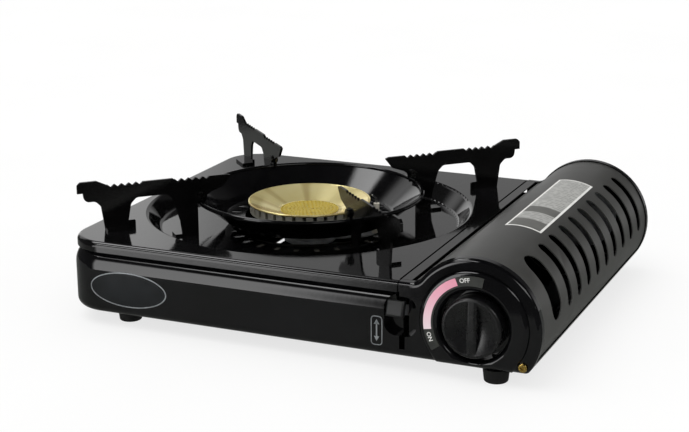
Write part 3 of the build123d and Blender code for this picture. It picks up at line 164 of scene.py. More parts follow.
def dusted(material, speck_mm, reach, code, rough):
    """Sparse pale specks, as dust or bubbles in the glaze leave them; reach is a share of their spacing."""
    tree, part = parts_of(material)
    place = add(tree, "ShaderNodeTexCoord").outputs["Object"]
    speck = add(tree, "ShaderNodeTexVoronoi", {"Vector": place}, Scale=per_metre(speck_mm))
    mask = add(tree, "ShaderNodeMapRange", {"Value": speck.outputs["Distance"]}, From_Min=reach,
               From_Max=reach / 2)
    drift = add(tree, "ShaderNodeTexNoise", {"Vector": place}, Scale=per_metre(drift_mm), Detail=2.0)
    amount = add(tree, "ShaderNodeMath", {0: mask.outputs["Result"], 1: drift.outputs["Fac"]},
                 operation="MULTIPLY")
    specked = add(tree, "ShaderNodeMix", {"Factor": amount.outputs["Value"],
                                          "A": part["tint"].outputs["Color"], "B": colour(code)},
                  data_type="RGBA")
    dulled = add(tree, "ShaderNodeMapRange", {"Value": amount.outputs["Value"]}, To_Max=rough)
    total = add(tree, "ShaderNodeMath", {0: part["gloss"].outputs["Result"], 1: dulled.outputs["Result"]},
                operation="ADD")
    tree.links.new(specked.outputs["Result"], part["surface"].inputs["Base Color"])
    tree.links.new(total.outputs["Value"], part["surface"].inputs["Roughness"])
    return material


case_enamel = dusted(finish("gloss_black_enamel_case", "#060607", "#0b0b0d", (0.05, 0.09), 40.0, 9.0, 0.00002,
                            IOR=1.5), 3.5, 0.06, "#33342f", 0.2)
plate_enamel = dusted(finish("gloss_black_enamel_plate", "#070707", "#0c0c0d", (0.05, 0.1), 35.0, 11.0,
                             0.00003, IOR=1.5), 3.0, 0.07, "#3c3c39", 0.25)
bowl_enamel = dusted(finish("gloss_black_enamel_bowl", "#050506", "#0a0a0b", (0.06, 0.11), 30.0, 8.0,
                            0.00003, IOR=1.5), 4.0, 0.05, "#30302e", 0.2)
arm_enamel = dusted(finish("gloss_black_enamel_arms", "#040404", "#080808", (0.08, 0.14), 18.0, 2.5,
                           0.00002, IOR=1.5), 2.2, 0.06, "#2c2b28", 0.15)
print("enamels made")

# %% [markdown]
# ## Lid paint and printed films
# The lid is steel sprayed with a satin black baking paint. Unlike glass, paint scatters: highlights spread wide
# and the drum shows as a soft grey gradient. A fine leather grain of half a millimetre is drawn at one
# millimetre, because the real one is too fine to show. Films and inks are thin and matt, but for the badge's
# glossy film, and their grain is drawn coarser than it is for the same reason. Where a maker would print words,
# the label only has rows of dashes: a wave along Y gives the rows, and noise cuts them into words.

# %% Lid paint and printed films
lid_paint = dusted(finish("satin_black_baked_paint", "#3a3a38", "#444442", (0.32, 0.4), 30.0, 1.0, 0.00002,
                          IOR=1.5), 2.0, 0.06, "#565652", 0.1)
dial_film = finish("matt_grey_printed_film", "#2b2d2a", "#343632", (0.4, 0.5), 8.0, 0.8, 0.00001, IOR=1.46)
pink_ink = finish("red_to_white_dial_ink", "#e79ab4", "#efa7c0", (0.4, 0.5), 6.0, 0.8, 0.00001, IOR=1.5)
white_ink = finish("white_screen_ink", "#dededa", "#ecece8", (0.4, 0.5), 6.0, 0.8, 0.00001, IOR=1.5)
grey_ink = finish("grey_screen_ink", "#5c5c59", "#676763", (0.38, 0.46), 8.0, 0.8, 0.00001, IOR=1.5)
label_film = finish("pale_grey_label_film", "#a3a3a0", "#afafab", (0.3, 0.38), 14.0, 0.9, 0.00001, IOR=1.46)
badge_film = finish("dark_badge_film", "#121416", "#181b1e", (0.14, 0.2), 12.0, 1.2, 0.00001, IOR=1.5)
wave_pitch = radians(360) / 20    # a wave texture of scale 1 repeats at this distance
row_range = (0.55, 0.75)          # ink starts and is full at these heights of the wave
word_range = (0.42, 0.5)          # and at these values of the noise


def ruled(material, pitch_mm, word_mm, code):
    """Rows of short dashes along X, one row every pitch along Y."""
    tree, part = parts_of(material)
    place = add(tree, "ShaderNodeTexCoord").outputs["Object"]
    rows = add(tree, "ShaderNodeTexWave", {"Vector": place}, bands_direction="Y",
               Scale=per_metre(pitch_mm) * wave_pitch)
    words = add(tree, "ShaderNodeTexNoise", {"Vector": place}, Scale=per_metre(word_mm), Detail=1.0)
    row = add(tree, "ShaderNodeMapRange", {"Value": rows.outputs["Fac"]}, From_Min=row_range[0],
              From_Max=row_range[1])
    word = add(tree, "ShaderNodeMapRange", {"Value": words.outputs["Fac"]}, From_Min=word_range[0],
               From_Max=word_range[1])
    ink = add(tree, "ShaderNodeMath", {0: row.outputs["Result"], 1: word.outputs["Result"]},
              operation="MULTIPLY")
    printed = add(tree, "ShaderNodeMix", {"Factor": ink.outputs["Value"], "A": part["tint"].outputs["Color"],
                                          "B": colour(code)}, data_type="RGBA")
    tree.links.new(printed.outputs["Result"], part["surface"].inputs["Base Color"])


ruled(label_film, 3.4, 3.0, "#838380")
print("paint and films made")

# %% [markdown]
# ## Burner metals
# The cap is spun brass, left bare. Spinning leaves fine rings about the axis that pull highlights into fans, so
# its bump reads the radius from the burner's axis, and its highlights spread across the rings. Metals keep the
# default index, and their colour is the colour of their reflection. Heat and handling leave a dull film on the
# brass that scatters part of the light, so it is only partly metallic. Faint tan wedges, laid by direction
# about
# the axis, are painted reflection: they darken the sectors between the highlight fans. The head below it is a
# grey aluminium casting.

# %% Brass and alloy
ring_share = 0.5                  # the rings' part of the bump, beside the grain
ring_pull = 0.5                   # how far the rings draw out a highlight
wedge_scale = 1.7                 # noise by direction: a larger scale gives more and narrower wedges
wedge_slice = 2.6                 # the noise's fourth axis, which chooses where they fall
wedge_range = (0.47, 0.6)         # the tan starts and is full at these values of the noise
wedge_strength = 0.62


def ringed(material, ring_mm, depth, tan):
    """Turned rings about the burner's axis, and tan wedges by direction, painted reflection of darker sectors.
    """
    tree, part = parts_of(material)
    place = add(tree, "ShaderNodeTexCoord").outputs["Object"]
    local = add(tree, "ShaderNodeVectorMath", {0: place, 1: (burner_x, burner_y, 0.0)}, operation="SUBTRACT")
    flat = add(tree, "ShaderNodeVectorMath", {0: local.outputs["Vector"], 1: (1.0, 1.0, 0.0)},
               operation="MULTIPLY").outputs["Vector"]
    radius = add(tree, "ShaderNodeVectorMath", {0: flat}, operation="LENGTH")
    rings = add(tree, "ShaderNodeTexNoise", {"W": radius.outputs["Value"]}, noise_dimensions="1D",
                Scale=per_metre(ring_mm), Detail=2.0, Roughness=0.7)
    both = add(tree, "ShaderNodeMix", {"A": part["grain"].outputs["Fac"], "B": rings.outputs["Fac"]},
               Factor=ring_share)
    tree.links.new(both.outputs["Result"], part["bump"].inputs["Height"])
    part["bump"].inputs["Distance"].default_value = depth
    groove = add(tree, "ShaderNodeVectorMath", {0: flat, 1: (0.0, 0.0, 1.0)}, operation="CROSS_PRODUCT")
    tree.links.new(groove.outputs["Vector"], part["surface"].inputs["Tangent"])
    part["surface"].inputs["Anisotropic"].default_value = ring_pull
    outward = add(tree, "ShaderNodeVectorMath", {0: flat}, operation="NORMALIZE")
    # painted reflection: tan wedges by direction about the axis darken the sectors between the highlight fans
    wedge = add(tree, "ShaderNodeTexNoise", {"Vector": outward.outputs["Vector"]}, noise_dimensions="4D",
                W=wedge_slice, Scale=wedge_scale, Detail=3.0)
    amount = add(tree, "ShaderNodeMapRange", {"Value": wedge.outputs["Fac"]}, From_Min=wedge_range[0],
                 From_Max=wedge_range[1], To_Max=wedge_strength)
    painted_reflection_wedges = add(tree, "ShaderNodeMix", {"Factor": amount.outputs["Result"],
                                         "A": part["tint"].outputs["Color"], "B": colour(tan)},
                 data_type="RGBA")
    tree.links.new(painted_reflection_wedges.outputs["Result"], part["surface"].inputs["Base Color"])
    return material


brass = ringed(finish("spun_brass_cap", "#eddc96", "#f7ebb0", (0.2, 0.28), 45.0, 1.5, 0.00002, Metallic=0.6),
               0.8, 0.00001, "#9c7a3c")
mesh_brass = finish("pierced_brass_disc", "#dcc23e", "#e9d256", (0.26, 0.38), 6.0, 1.0, 0.00003, Metallic=0.7)
alloy = finish("cast_aluminium_head", "#a8a598", "#bebbad", (0.38, 0.5), 10.0, 1.2, 0.00006, Metallic=0.5)
zinc = finish("die_cast_zinc", "#8f9092", "#a3a4a6", (0.34, 0.48), 14.0, 1.0, 0.00005, Metallic=0.7)
print("burner metals made")

# %% [markdown]
# ## Hidden steel, screws, plastics and rubber
# Inside are galvanised brackets and a drawn tube, seen when the lid is up. Zinc dulls to a grey skin that
# scatters light like chalk, so these are only partly metallic. Screws are plated steel, the panel's are brass
# plated. The knob is moulded satin ABS, the feet are moulded rubber with a dull skin.

# %% Small finishes
bracket_steel = finish("galvanised_bracket_steel", "#8f9192", "#a9abac", (0.34, 0.5), 9.0, 5.0, 0.00003,
                       Metallic=0.6)
tube_steel = finish("drawn_steel_tube", "#8e8f8f", "#a2a3a3", (0.3, 0.42), 16.0, 1.2, 0.00002, Metallic=0.7)
screw_steel = finish("nickel_plated_steel", "#b4b4b2", "#c6c6c3", (0.2, 0.3), 3.0, 0.6, 0.00001, Metallic=1.0)
rivet_steel = finish("darkened_steel_rivet", "#3a3a39", "#4c4c4a", (0.2, 0.34), 3.0, 0.6, 0.00002,
                     Metallic=1.0)
screw_brass = finish("brass_plated_screw", "#c5a452", "#dabb6c", (0.18, 0.3), 2.0, 0.6, 0.00002, Metallic=1.0)
igniter_plastic = finish("red_moulded_nylon", "#7a1c18", "#8a2620", (0.4, 0.5), 8.0, 0.7, 0.00002, IOR=1.53)
cam_plastic = finish("ivory_acetal", "#d3cfbf", "#ddd9cb", (0.34, 0.44), 6.0, 0.7, 0.00001, IOR=1.48)
lead_sleeve = finish("silicone_lead_sleeve", "#181818", "#222222", (0.5, 0.62), 6.0, 0.9, 0.00003, IOR=1.42)
ceramic = finish("fired_white_ceramic", "#d9d3c3", "#e5e0d2", (0.4, 0.55), 6.0, 0.8, 0.00003, IOR=1.55)
knob_plastic = finish("satin_black_abs", "#0b0b0c", "#111112", (0.24, 0.32), 10.0, 0.8, 0.00002, IOR=1.53)
tab_plastic = finish("satin_black_nylon", "#131414", "#1b1c1c", (0.34, 0.44), 8.0, 0.8, 0.00002, IOR=1.53)
rubber = finish("moulded_black_rubber", "#060606", "#0c0c0c", (0.5, 0.65), 6.0, 1.0, 0.00004, IOR=1.5)
print("small finishes made")

# %% [markdown]
# ## Each solid gets its finish
# A solid keeps its shape, and only the material in its slots changes. The cradle and the partition beside the
# cartridge get the case's black enamel as painted shade: it stands in for the dark inside of the bay, which is
# why the lid's slots look black.

# %% Give each solid its finish
finishes = {
    "lower_case": case_enamel, "top_plate": plate_enamel, "drip_bowl": bowl_enamel,
    "support_rivets": rivet_steel, "burner_head": alloy, "burner_cap": brass, "burner_mesh": mesh_brass,
    "mixing_tube": tube_steel, "jet_nozzle": screw_brass, "burner_bracket": bracket_steel,
    "burner_screws": screw_steel, "regulator_body": zinc, "regulator_cover": zinc, "cartridge_socket": zinc,
    # cartridge_cradle: the case's black enamel here is painted shade for the dark bay
    "regulator_bracket": bracket_steel, "regulator_screws": screw_steel, "cartridge_cradle": case_enamel,
    "piezo_igniter": igniter_plastic, "igniter_plunger": screw_steel, "igniter_cam": cam_plastic,
    "igniter_lead": lead_sleeve, "electrode_wire": screw_steel, "electrode_insulator": ceramic,
    "electrode_bracket": bracket_steel, "cartridge_lid": lid_paint, "lid_hinge_pins": screw_steel,
    "control_knob": knob_plastic, "valve_spindle": screw_steel, "dial_ring": dial_film,
    "lock_lever": bracket_steel, "lever_tab": tab_plastic, "lever_pivot_pin": screw_steel,
    "pusher_rail": bracket_steel, "rail_guides": bracket_steel, "panel_screws": screw_brass,
    # heat_partition: the case's black enamel here is painted shade for the dark bay
    "heat_partition": case_enamel,
}
for name, node in nodes.items():
    if name.startswith("support_arm"):
        finishes[name] = arm_enamel
    if name.startswith("foot"):
        finishes[name] = rubber
    for slot in node.material_slots:
        slot.material = finishes[name]
print("solids with a finish:", len(finishes))

# %% [markdown]
# ## Modelling helpers
# New pieces are shaped in edit mode. An operator acts on everything that is selected, so each step starts with
# nothing selected and picks faces or edges by their place. A finished piece has its place in its mesh: its
# object stands at the origin, unturned and unscaled, as the solids do.

# %% Selection and settling
crease = radians(30)              # a sharper edge than this stays sharp


def alone(piece):
    """Make this object the only one that is selected, and the active one."""
    bpy.ops.object.select_all(action="DESELECT")
    piece.select_set(True)
    bpy.context.view_layer.objects.active = piece


def settle(piece, name, material, body):
    """Put the place into the mesh, clean it, name it and let it ride on a body."""
    alone(piece)
    bpy.ops.object.transform_apply(location=True, rotation=True, scale=True)
    bpy.ops.object.mode_set(mode="EDIT")
    bpy.ops.mesh.select_all(action="SELECT")
    bpy.ops.mesh.remove_doubles(threshold=1e-6)
    bpy.ops.mesh.normals_make_consistent(inside=False)
    bpy.ops.object.mode_set(mode="OBJECT")
    bpy.ops.object.shade_smooth_by_angle(angle=crease)
    piece.name = name
    piece.data.name = name
    piece.data.materials.clear()
    piece.data.materials.append(material)
    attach(piece, body)
    print(name, len(piece.data.polygons), "faces")


print("edges sharper than", round(degrees(crease)), "degrees stay sharp")

# %% [markdown]
# ## Spun films
# Three things on this stove are thin sheets that follow a circle: the dial's red band, and the label and its
# bands on the lid. A curve with thickness or a bent plane could make them. Spinning is closest to the real
# thing: the cross section is a small rectangle, and the spin carries it round the axis and closes its sides.

# %% Spin a flat bar round the knob's axis
def spun_bar(radial, along, angles, steps):
    """A bar between two radii and two places along Y, spun between two angles seen from the front."""
    bpy.ops.object.select_all(action="DESELECT")
    bpy.ops.mesh.primitive_plane_add(size=1.0, location=(sum(radial) / 2, sum(along) / 2, 0.0))
    piece = bpy.context.object
    piece.scale = (radial[1] - radial[0], along[1] - along[0], 1.0)
    bpy.ops.object.transform_apply(location=True, rotation=False, scale=True)
    bpy.ops.object.mode_set(mode="EDIT")
    bpy.ops.mesh.select_all(action="SELECT")
    bpy.ops.mesh.spin(steps=steps, angle=radians(angles[1] - angles[0]), center=(0.0, 0.0, 0.0),
                      axis=(0.0, 1.0, 0.0))
    bpy.ops.object.mode_set(mode="OBJECT")
    piece.rotation_euler.y = -radians(angles[0])
    piece.location = (knob_x, 0.0, knob_z)
    return piece


print("spin helper ready")

# %% [markdown]
# ## The dial's printing
# A red wedge that fades to white shows how far the flame opens, between plain OFF and ON marks. On the real
# stove it is ink on a film. Here each mark is a sliver of mesh on the film, which keeps a crisp edge from near.
# The fade is in the ink's material: it reads the angle about the knob's axis.

# %% The red band
dial_inner, dial_outer = 0.0281, 0.0332
band_start, band_end = 111.5, 189.7             # degrees from level at the right, over the top
band_steps = 40
ink_drift = 0.12                  # the ink's own unevenness shows through by this share
band = spun_bar((dial_inner, dial_outer), (dial_face - film, dial_face + film), (band_start, band_end),
                band_steps)


def faded_by_angle(material, from_angle, to_angle, stops):
    """Colour that changes with the angle about the knob's axis."""
    tree, part = parts_of(material)
    place = add(tree, "ShaderNodeSeparateXYZ",
                {"Vector": add(tree, "ShaderNodeTexCoord").outputs["Object"]})
    leftwards = add(tree, "ShaderNodeMath", {0: knob_x, 1: place.outputs["X"]}, operation="SUBTRACT")
    up = add(tree, "ShaderNodeMath", {0: place.outputs["Z"], 1: knob_z}, operation="SUBTRACT")
    turned = add(tree, "ShaderNodeMath", {0: up.outputs["Value"], 1: leftwards.outputs["Value"]},
                 operation="ARCTAN2")
    along = add(tree, "ShaderNodeMapRange", {"Value": turned.outputs["Value"]},
                From_Min=radians(180 - from_angle), From_Max=radians(180 - to_angle))
    fade = add(tree, "ShaderNodeValToRGB", {"Fac": along.outputs["Result"]}, stops=stops)
    uneven = add(tree, "ShaderNodeMix", {"A": fade.outputs["Color"], "B": part["tint"].outputs["Color"]},
                 data_type="RGBA", Factor=ink_drift)
    tree.links.new(uneven.outputs["Result"], part["surface"].inputs["Base Color"])


faded_by_angle(pink_ink, band_start, band_end,
               [(0.0, colour("#ed9bb0")), (0.45, colour("#f0b3c4")), (1.0, colour("#f3e6ea"))])
settle(band, "dial_red_band", pink_ink, "stove")

# %% [markdown]
# The letters are text objects with a little thickness. Each is made a mesh before it is turned to face the
# front and moved to its place on the dial.

# %% Raised letters of the dial
letter_size, letter_radius = 0.0040, 0.0306
letter_weight = 0.012             # strokes grow by this share of the size, so that they read when small


def mark(words, angle, turn):
    """Plain letters on the dial at an angle, turned so many degrees from upright."""
    bpy.ops.object.select_all(action="DESELECT")
    bpy.ops.object.text_add(location=(0.0, 0.0, 0.0))
    piece = bpy.context.object
    piece.data.body = words
    piece.data.size = letter_size
    piece.data.align_x, piece.data.align_y = "CENTER", "CENTER"
    piece.data.extrude = film / 2
    piece.data.offset = letter_size * letter_weight
    piece.data.resolution_u = 3
    bpy.ops.object.convert(target="MESH")
    piece = bpy.context.object
    piece.rotation_euler = (radians(90), -radians(turn), 0.0)
    piece.location = (knob_x + letter_radius * cos(radians(angle)), dial_face - film / 2,
                      knob_z + letter_radius * sin(radians(angle)))
    settle(piece, "dial_mark_" + words.lower(), white_ink, "stove")


mark("OFF", 101.0, 10.0)
mark("ON", 199.4, -70.6)

# %% [markdown]
# ## The lid's label
# Stoves of this kind carry a paper label rolled over the lid. It is left without words here: a pale face inside
# a white border, with two darker bands across it. Each is a spun film, a hair above the one below it.

# %% Label on the lid
label_angles = (66.5, 100.0)                    # degrees from level at the right, over the top
label_along = (-0.054 + setback, 0.073 + setback)
label_steps = 24
border = 0.0016
border_turn = degrees(border / lid_radius)
level = lid_radius - film / 2                   # each film starts a little inside the lid's sheet
border_top, face_top, stripe_top = (level + films * film for films in (1.5, 1.8, 2.1))
inside = (label_along[0] + border, label_along[1] - border)
turned_in = (label_angles[0] + border_turn, label_angles[1] - border_turn)
stripes = {"lid_label_band_1": (inside[0], -0.0355 + setback),
           "lid_label_band_2": (-0.018 + setback, -0.004 + setback)}

base = spun_bar((level, border_top), label_along, label_angles, label_steps)
settle(base, "lid_label_border", white_ink, "lid")
face = spun_bar((level, face_top), inside, turned_in, label_steps)
settle(face, "lid_label_face", label_film, "lid")
for name, along in stripes.items():
    settle(spun_bar((level, stripe_top), along, turned_in, label_steps), name, grey_ink, "lid")

# %% [markdown]
# ## The badge
# An oval badge sits where the case's front turns into its side. It is left bare: a dark face in a silver rim.
# It starts as a flat oval; insetting gives it the rim, and a shrinkwrap lays it on the curved wall before it
# gets its thickness, as a real sticker is rolled on.

# %% Cut an oval and press it on
glue = 0.00003                    # the badge stands this far off the wall


def lay_on(piece, node, thickness):
    """Press a flat piece that faces the front onto a solid, then give it its thickness outwards."""
    alone(piece)
    wrap = piece.modifiers.new("lay", "SHRINKWRAP")
    wrap.target = nodes[node]
    wrap.wrap_method = "PROJECT"
    wrap.use_project_y = True
    wrap.use_project_x, wrap.use_project_z = False, False
    wrap.use_negative_direction, wrap.use_positive_direction = True, True
    wrap.offset = glue
    bpy.ops.object.modifier_apply(modifier=wrap.name)
    shell = piece.modifiers.new("thickness", "SOLIDIFY")
    shell.thickness = thickness
    shell.offset = 1.0
    bpy.ops.object.modifier_apply(modifier=shell.name)


def flat_oval(half_width, half_height, rim, centre):
    """An oval facing the front, cut finely enough to bend, with an edge loop where its rim starts."""
    bpy.ops.object.select_all(action="DESELECT")
    bpy.ops.mesh.primitive_circle_add(vertices=72, radius=1.0, fill_type="NGON", location=(0.0, 0.0, 0.0))
    piece = bpy.context.object
    piece.scale = (half_width, half_height, 1.0)
    piece.rotation_euler.x = radians(90)
    piece.location = centre
    bpy.ops.object.transform_apply(location=True, rotation=True, scale=True)
    bpy.ops.object.mode_set(mode="EDIT")
    bpy.ops.mesh.select_mode(type="FACE")
    bpy.ops.mesh.select_all(action="SELECT")
    bpy.ops.mesh.inset(thickness=rim, depth=0.0)
    bpy.ops.mesh.poke()
    bpy.ops.mesh.subdivide(number_cuts=5)
    bpy.ops.object.mode_set(mode="OBJECT")
    return piece


print("badge helpers ready")

# %% [markdown]
# The rim's silver is a second material on the badge. A face gets it when its middle lies outside the inner
# oval, which is known from the badge's own half sizes.

# %% Oval badge
silver_ink = finish("silver_screen_ink", "#8d9194", "#9fa3a6", (0.3, 0.4), 8.0, 0.8, 0.00001, Metallic=0.6)
badge_centre = Vector((-0.1207, wall_face - 0.002, 0.0289))
badge_half = (0.0300, 0.0125)     # half its width and half its height
badge_rim = 0.0008


def in_rim(point):
    """Whether a point of the badge lies outside its inner oval."""
    across = (point.x - badge_centre.x) / (badge_half[0] - badge_rim)
    up = (point.z - badge_centre.z) / (badge_half[1] - badge_rim)
    return hypot(across, up) > 1.0


badge = flat_oval(badge_half[0], badge_half[1], badge_rim, badge_centre)
lay_on(badge, "lower_case", 1.5 * film)
settle(badge, "badge_face", badge_film, "stove")
badge.data.materials.append(silver_ink)
for polygon in badge.data.polygons:
    polygon.material_index = 1 if in_rim(polygon.center) else 0
print("badge rim faces", sum(polygon.material_index for polygon in badge.data.polygons))

# %% [markdown]
# ## The lock mark
# Beside the lock lever a small upright mark shows which way it moves. Here it is a plain frame with an arrow,
# without words. The frame is a rounded plate, inset, with its middle taken out.

# %% Frame and shaft of the lock mark
mark_left, mark_right = 0.0603, 0.0684
mark_bottom, mark_top = 0.0158, 0.0358
mark_rounding, mark_line = 0.0026, 0.0006
middle = (mark_left + mark_right) / 2
shaft_half, shaft_rounding = 0.0005, 0.0002
shaft_bottom, shaft_top = mark_bottom + 0.006, mark_top - 0.0045


def raise_off_wall(piece, name):
    """Give a flat piece on the front wall the thickness of a film, and settle it."""
    bpy.ops.mesh.select_all(action="SELECT")
    bpy.ops.mesh.extrude_region_move(TRANSFORM_OT_translate={"value": (0.0, -film, 0.0)})
    bpy.ops.object.mode_set(mode="OBJECT")
    settle(piece, name, silver_ink, "stove")


def plate_on_wall(name, across, upright, rounding, line=0.0):
    """A thin rounded plate on the front wall, or only its outline where a line width is given."""
    bpy.ops.object.select_all(action="DESELECT")
    bpy.ops.mesh.primitive_plane_add(size=1.0, location=(0.0, 0.0, 0.0))
    piece = bpy.context.object
    piece.scale = (across[1] - across[0], upright[1] - upright[0], 1.0)
    piece.rotation_euler.x = radians(90)
    piece.location = (sum(across) / 2, wall_face, sum(upright) / 2)
    bpy.ops.object.transform_apply(location=True, rotation=True, scale=True)
    bpy.ops.object.mode_set(mode="EDIT")
    bpy.ops.mesh.select_all(action="SELECT")
    bpy.ops.mesh.bevel(offset=rounding, segments=6, affect="VERTICES")
    if line:
        bpy.ops.mesh.select_mode(type="FACE")
        bpy.ops.mesh.select_all(action="SELECT")
        bpy.ops.mesh.inset(thickness=line, depth=0.0)
        bpy.ops.mesh.delete(type="FACE")
    raise_off_wall(piece, name)


plate_on_wall("lock_mark_frame", (mark_left, mark_right), (mark_bottom, mark_top), mark_rounding, mark_line)
plate_on_wall("lock_mark_shaft", (middle - shaft_half, middle + shaft_half), (shaft_bottom, shaft_top),
              shaft_rounding)

# %% [markdown]
# Each end of the arrow is a triangle: a circle of three corners, which a turn stands upright and a negative
# scale turns over for the lower end.

# %% Heads of the lock mark's arrow
head_size = 0.0022
top_head, bottom_head = mark_top - 0.0045, mark_bottom + 0.0050


def arrow_head(name, height, way):
    """A thin triangle on the front wall that points up or down."""
    bpy.ops.object.select_all(action="DESELECT")
    bpy.ops.mesh.primitive_circle_add(vertices=3, radius=head_size, fill_type="NGON",
                                      location=(0.0, 0.0, 0.0))
    piece = bpy.context.object
    piece.rotation_euler = (radians(90), 0.0, 0.0)
    piece.scale = (1.0, way, 1.0)
    piece.location = (middle, wall_face, height)
    bpy.ops.object.transform_apply(location=True, rotation=True, scale=True)
    bpy.ops.object.mode_set(mode="EDIT")
    raise_off_wall(piece, name)


arrow_head("lock_mark_head_top", top_head, 1.0)
arrow_head("lock_mark_head_bottom", bottom_head, -1.0)

# %% [markdown]
# ## Camera
# A long lens from a little above and to the right, at the angle of a product picture. The camera is turned by
# its bearing, its rise and a slight roll, and its lens is given by the picture's width in lens lengths.

# %% Camera
turn, rise, roll = radians(23.805), radians(16.061), radians(-0.404)
camera_place = (0.4448, -1.0483 + setback, 0.3871)
picture_width, lens_length = 689, 1629.6        # both in pixels
backwards = Vector((sin(turn) * cos(rise), -cos(turn) * cos(rise), sin(rise)))
sideways = Vector((cos(turn), sin(turn), 0.0))
upwards = backwards.cross(sideways)
right = sideways * cos(roll) + upwards * sin(roll)
top = backwards.cross(right)
view = bpy.data.cameras.new("picture_camera")
view.sensor_width = 36.0
view.lens = view.sensor_width * lens_length / picture_width
view.clip_start, view.clip_end = 0.05, 50.0
camera = bpy.data.objects.new("picture_camera", view)
bpy.context.scene.collection.objects.link(camera)
camera.matrix_world = Matrix.Translation(camera_place) @ Matrix((right, top, backwards)).transposed().to_4x4()
bpy.context.scene.camera = camera
print("lens", round(view.lens, 2), "mm")

# %% [markdown]
# ## Paper floor and grey board
# The picture's ground is pale seamless paper that keeps the stove's shadow. Black enamel shows whatever lies
# round it, and pure white all round would turn it grey. In the studio the stove stood on a grey table top, so
# its reflections see a grey board just larger than the stove, and beyond its front edge the light panels.

# %% Paper floor and grey board
white = colour("#ffffff")
paper_white = 0.75                # share of plain white that the camera sees in the paper
floor_corners = (-6.0, -6.0), (6.0, 6.0)
board_corners = (-0.5, -0.27), (0.5, 0.6)


def ground(name, material, corners):
    """A level sheet of the stage at the stove's feet, between two corners."""
    (west, south), (east, north) = corners
    bpy.ops.object.select_all(action="DESELECT")
    bpy.ops.mesh.primitive_plane_add(size=1.0, location=(0.0, 0.0, 0.0))
    sheet = bpy.context.object
    sheet.scale = (east - west, north - south, 1.0)
    sheet.location = ((west + east) / 2, (south + north) / 2, 0.0)
    bpy.ops.object.transform_apply(location=True, rotation=True, scale=True)
    sheet.name = name
    sheet.data.materials.append(material)
    return sheet


def lit_for_camera(material, share):
    """For the camera alone, mix this share of plain white into a finish of the stage."""
    tree, part = parts_of(material)
    glow = add(tree, "ShaderNodeEmission", Color=white, Strength=1.0)
    amount = add(tree, "ShaderNodeMath", {0: add(tree, "ShaderNodeLightPath").outputs["Is Camera Ray"],
                                          1: share}, operation="MULTIPLY")
    both = add(tree, "ShaderNodeMixShader", {0: amount.outputs["Value"], 1: part["surface"].outputs["BSDF"],
                                             2: glow.outputs["Emission"]})
    tree.links.new(both.outputs["Shader"], part["output"].inputs["Surface"])


paper = finish("seamless_white_paper", "#f2f2f1", "#f6f6f5", (0.8, 0.9), 200.0, 2.0, 0.00002, IOR=1.4,
               Specular_IOR_Level=0.2)
lit_for_camera(paper, paper_white)
board = finish("grey_table_top", "#9c9e9b", "#a7a9a5", (0.6, 0.7), 90.0, 4.0, 0.00002, IOR=1.45)
floor = ground("paper_floor", paper, floor_corners)
floor.visible_glossy = False
table = ground("grey_board", board, board_corners)
table.visible_camera = table.visible_diffuse = table.visible_shadow = False
print("floor", [round(v, 2) for v in floor.dimensions], "board", [round(v, 2) for v in table.dimensions])

# %% [markdown]
# ## The studio that the enamel mirrors
# The world has three parts. The camera sees plain white. Scattered light comes from a soft even sky. Mirrored
# light comes from a drawn studio: a pale backdrop low behind the stove, a dark ceiling, and a few soft panels,
# each placed by its bearing from the front (left is negative) and its height in degrees. Real lamps could do
# the same, but panels drawn by direction stay crisp, add no noise and leave the object's own level alone.

# %% Directions in the world
world = bpy.data.worlds.new("studio")
bpy.context.scene.world = world
world.use_nodes = True
world.cycles.sampling_method = "NONE"
room = world.node_tree
room.nodes.clear()
direction = add(room, "ShaderNodeSeparateXYZ",
                {"Vector": add(room, "ShaderNodeTexCoord").outputs["Generated"]})
forward = add(room, "ShaderNodeMath", {0: direction.outputs["Y"], 1: -1.0}, operation="MULTIPLY")
bearing = add(room, "ShaderNodeMath", {0: direction.outputs["X"], 1: forward.outputs["Value"]},
              operation="ARCTAN2").outputs["Value"]
height = add(room, "ShaderNodeMath", {0: direction.outputs["Z"]}, operation="ARCSINE").outputs["Value"]


def within(angle, middle, half, edge):
    """One inside a range of an angle and zero outside it, with a soft edge; all in degrees."""
    away = add(room, "ShaderNodeMath", {0: angle, 1: radians(middle)}, operation="SUBTRACT")
    size = add(room, "ShaderNodeMath", {0: away.outputs["Value"]}, operation="ABSOLUTE")
    return add(room, "ShaderNodeMapRange", {"Value": size.outputs["Value"]}, interpolation_type="SMOOTHSTEP",
               From_Min=radians(half + edge), From_Max=radians(half - edge)).outputs["Result"]


def panel(total, middle, half, strength, edge=2.0):
    """Add a soft panel to the studio's light: its middle and half sizes as (bearing, height)."""
    shape = add(room, "ShaderNodeMath", {0: within(bearing, middle[0], half[0], edge),
                                         1: within(height, middle[1], half[1], edge)}, operation="MULTIPLY")
    return add(room, "ShaderNodeMath", {0: shape.outputs["Value"], 1: strength, 2: total},
               operation="MULTIPLY_ADD").outputs["Value"]


print("world starts with", len(room.nodes), "nodes")

# %% [markdown]
# The dark starts 30 degrees up and is deepest from 44 degrees, whose sines are 0.5 and 0.7. Behind the stove
# stands the backdrop, in two parts on the left and one on the right, which the plate mirrors. In front, one
# panel draws the strip along the wall and one above it the upper edge. High on the left two streak the bowl
# and the brass, and a third, lower, greys the bowl's right side. One on the right lights the lid and the bead.

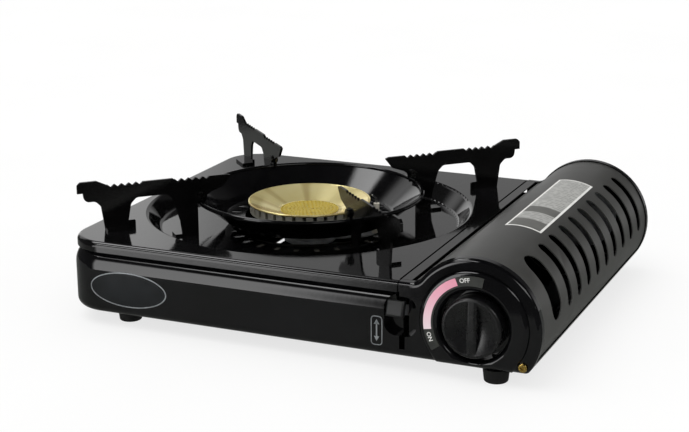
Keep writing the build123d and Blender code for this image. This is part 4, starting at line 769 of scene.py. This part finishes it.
# %% Panels of the studio
ceiling_start, ceiling_full = 0.5, 0.7
studio = add(room, "ShaderNodeMapRange", {"Value": direction.outputs["Z"]}, interpolation_type="SMOOTHSTEP",
             From_Min=ceiling_full, From_Max=ceiling_start, To_Min=0.02, To_Max=0.06).outputs["Result"]
studio = panel(studio, (-154.0, 8.0), (24.0, 18.0), 0.36, edge=5.0)
studio = panel(studio, (-140.0, 10.0), (11.0, 22.0), 0.65, edge=3.0)
studio = panel(studio, (155.0, -4.0), (16.0, 12.0), 0.45, edge=7.0)
studio = panel(studio, (-32.0, 3.0), (9.0, 21.0), 3.4, edge=3.0)
studio = panel(studio, (-38.0, 43.0), (18.0, 5.0), 6.0)
studio = panel(studio, (-100.0, 57.0), (22.0, 8.0), 5.0)
studio = panel(studio, (-130.0, 55.0), (12.0, 7.0), 1.1)
studio = panel(studio, (-120.0, 24.0), (8.0, 11.0), 0.7, edge=5.0)
studio = panel(studio, (50.0, 30.0), (22.0, 7.0), 2.8)
print("studio of", len(room.nodes), "nodes")

# %% [markdown]
# Light Path tells the rays apart. Mirrored and transmitted rays see the studio, scattered ones the even sky,
# which is a little brighter above than below, and the camera sees plain white.

# %% Sky, studio and white
sky_below, sky_above = 0.55, 0.85
ray = add(room, "ShaderNodeLightPath")
mirrored = add(room, "ShaderNodeMath", {0: ray.outputs["Is Glossy Ray"],
                                        1: ray.outputs["Is Transmission Ray"]}, operation="MAXIMUM")
sky = add(room, "ShaderNodeMapRange", {"Value": direction.outputs["Z"]}, From_Min=-1.0, To_Min=sky_below,
          To_Max=sky_above)
even = add(room, "ShaderNodeBackground", {"Strength": sky.outputs["Result"]}, Color=white)
drawn = add(room, "ShaderNodeBackground", {"Strength": studio}, Color=white)
plain = add(room, "ShaderNodeBackground", Color=white, Strength=1.0)
unseen = add(room, "ShaderNodeMixShader", {0: mirrored.outputs["Value"], 1: even.outputs["Background"],
                                           2: drawn.outputs["Background"]})
final = add(room, "ShaderNodeMixShader", {0: ray.outputs["Is Camera Ray"], 1: unseen.outputs["Shader"],
                                          2: plain.outputs["Background"]})
add(room, "ShaderNodeOutputWorld", {"Surface": final.outputs["Shader"]})
print("world of", len(room.nodes), "nodes")

# %% [markdown]
# One broad lamp from the upper left gives form and the soft shadow. It is hidden from mirrored light, where the
# drawn panels stand in for it. The Standard view transform shows each colour as it is written.

# %% Lamp and view transform
light = bpy.data.lights.new("soft_sun", "SUN")
light.energy = 1.1
light.angle = radians(50)
lamp = bpy.data.objects.new("soft_sun", light)
bpy.context.scene.collection.objects.link(lamp)
lamp.location = (-0.6, -0.4, 2.0)
lamp.rotation_euler = (-lamp.location).to_track_quat("-Z", "Y").to_euler()
lamp.visible_glossy = False
bpy.context.scene.view_settings.view_transform = "Standard"
print("sun", round(light.energy, 2), "over", round(degrees(light.angle)), "degrees")
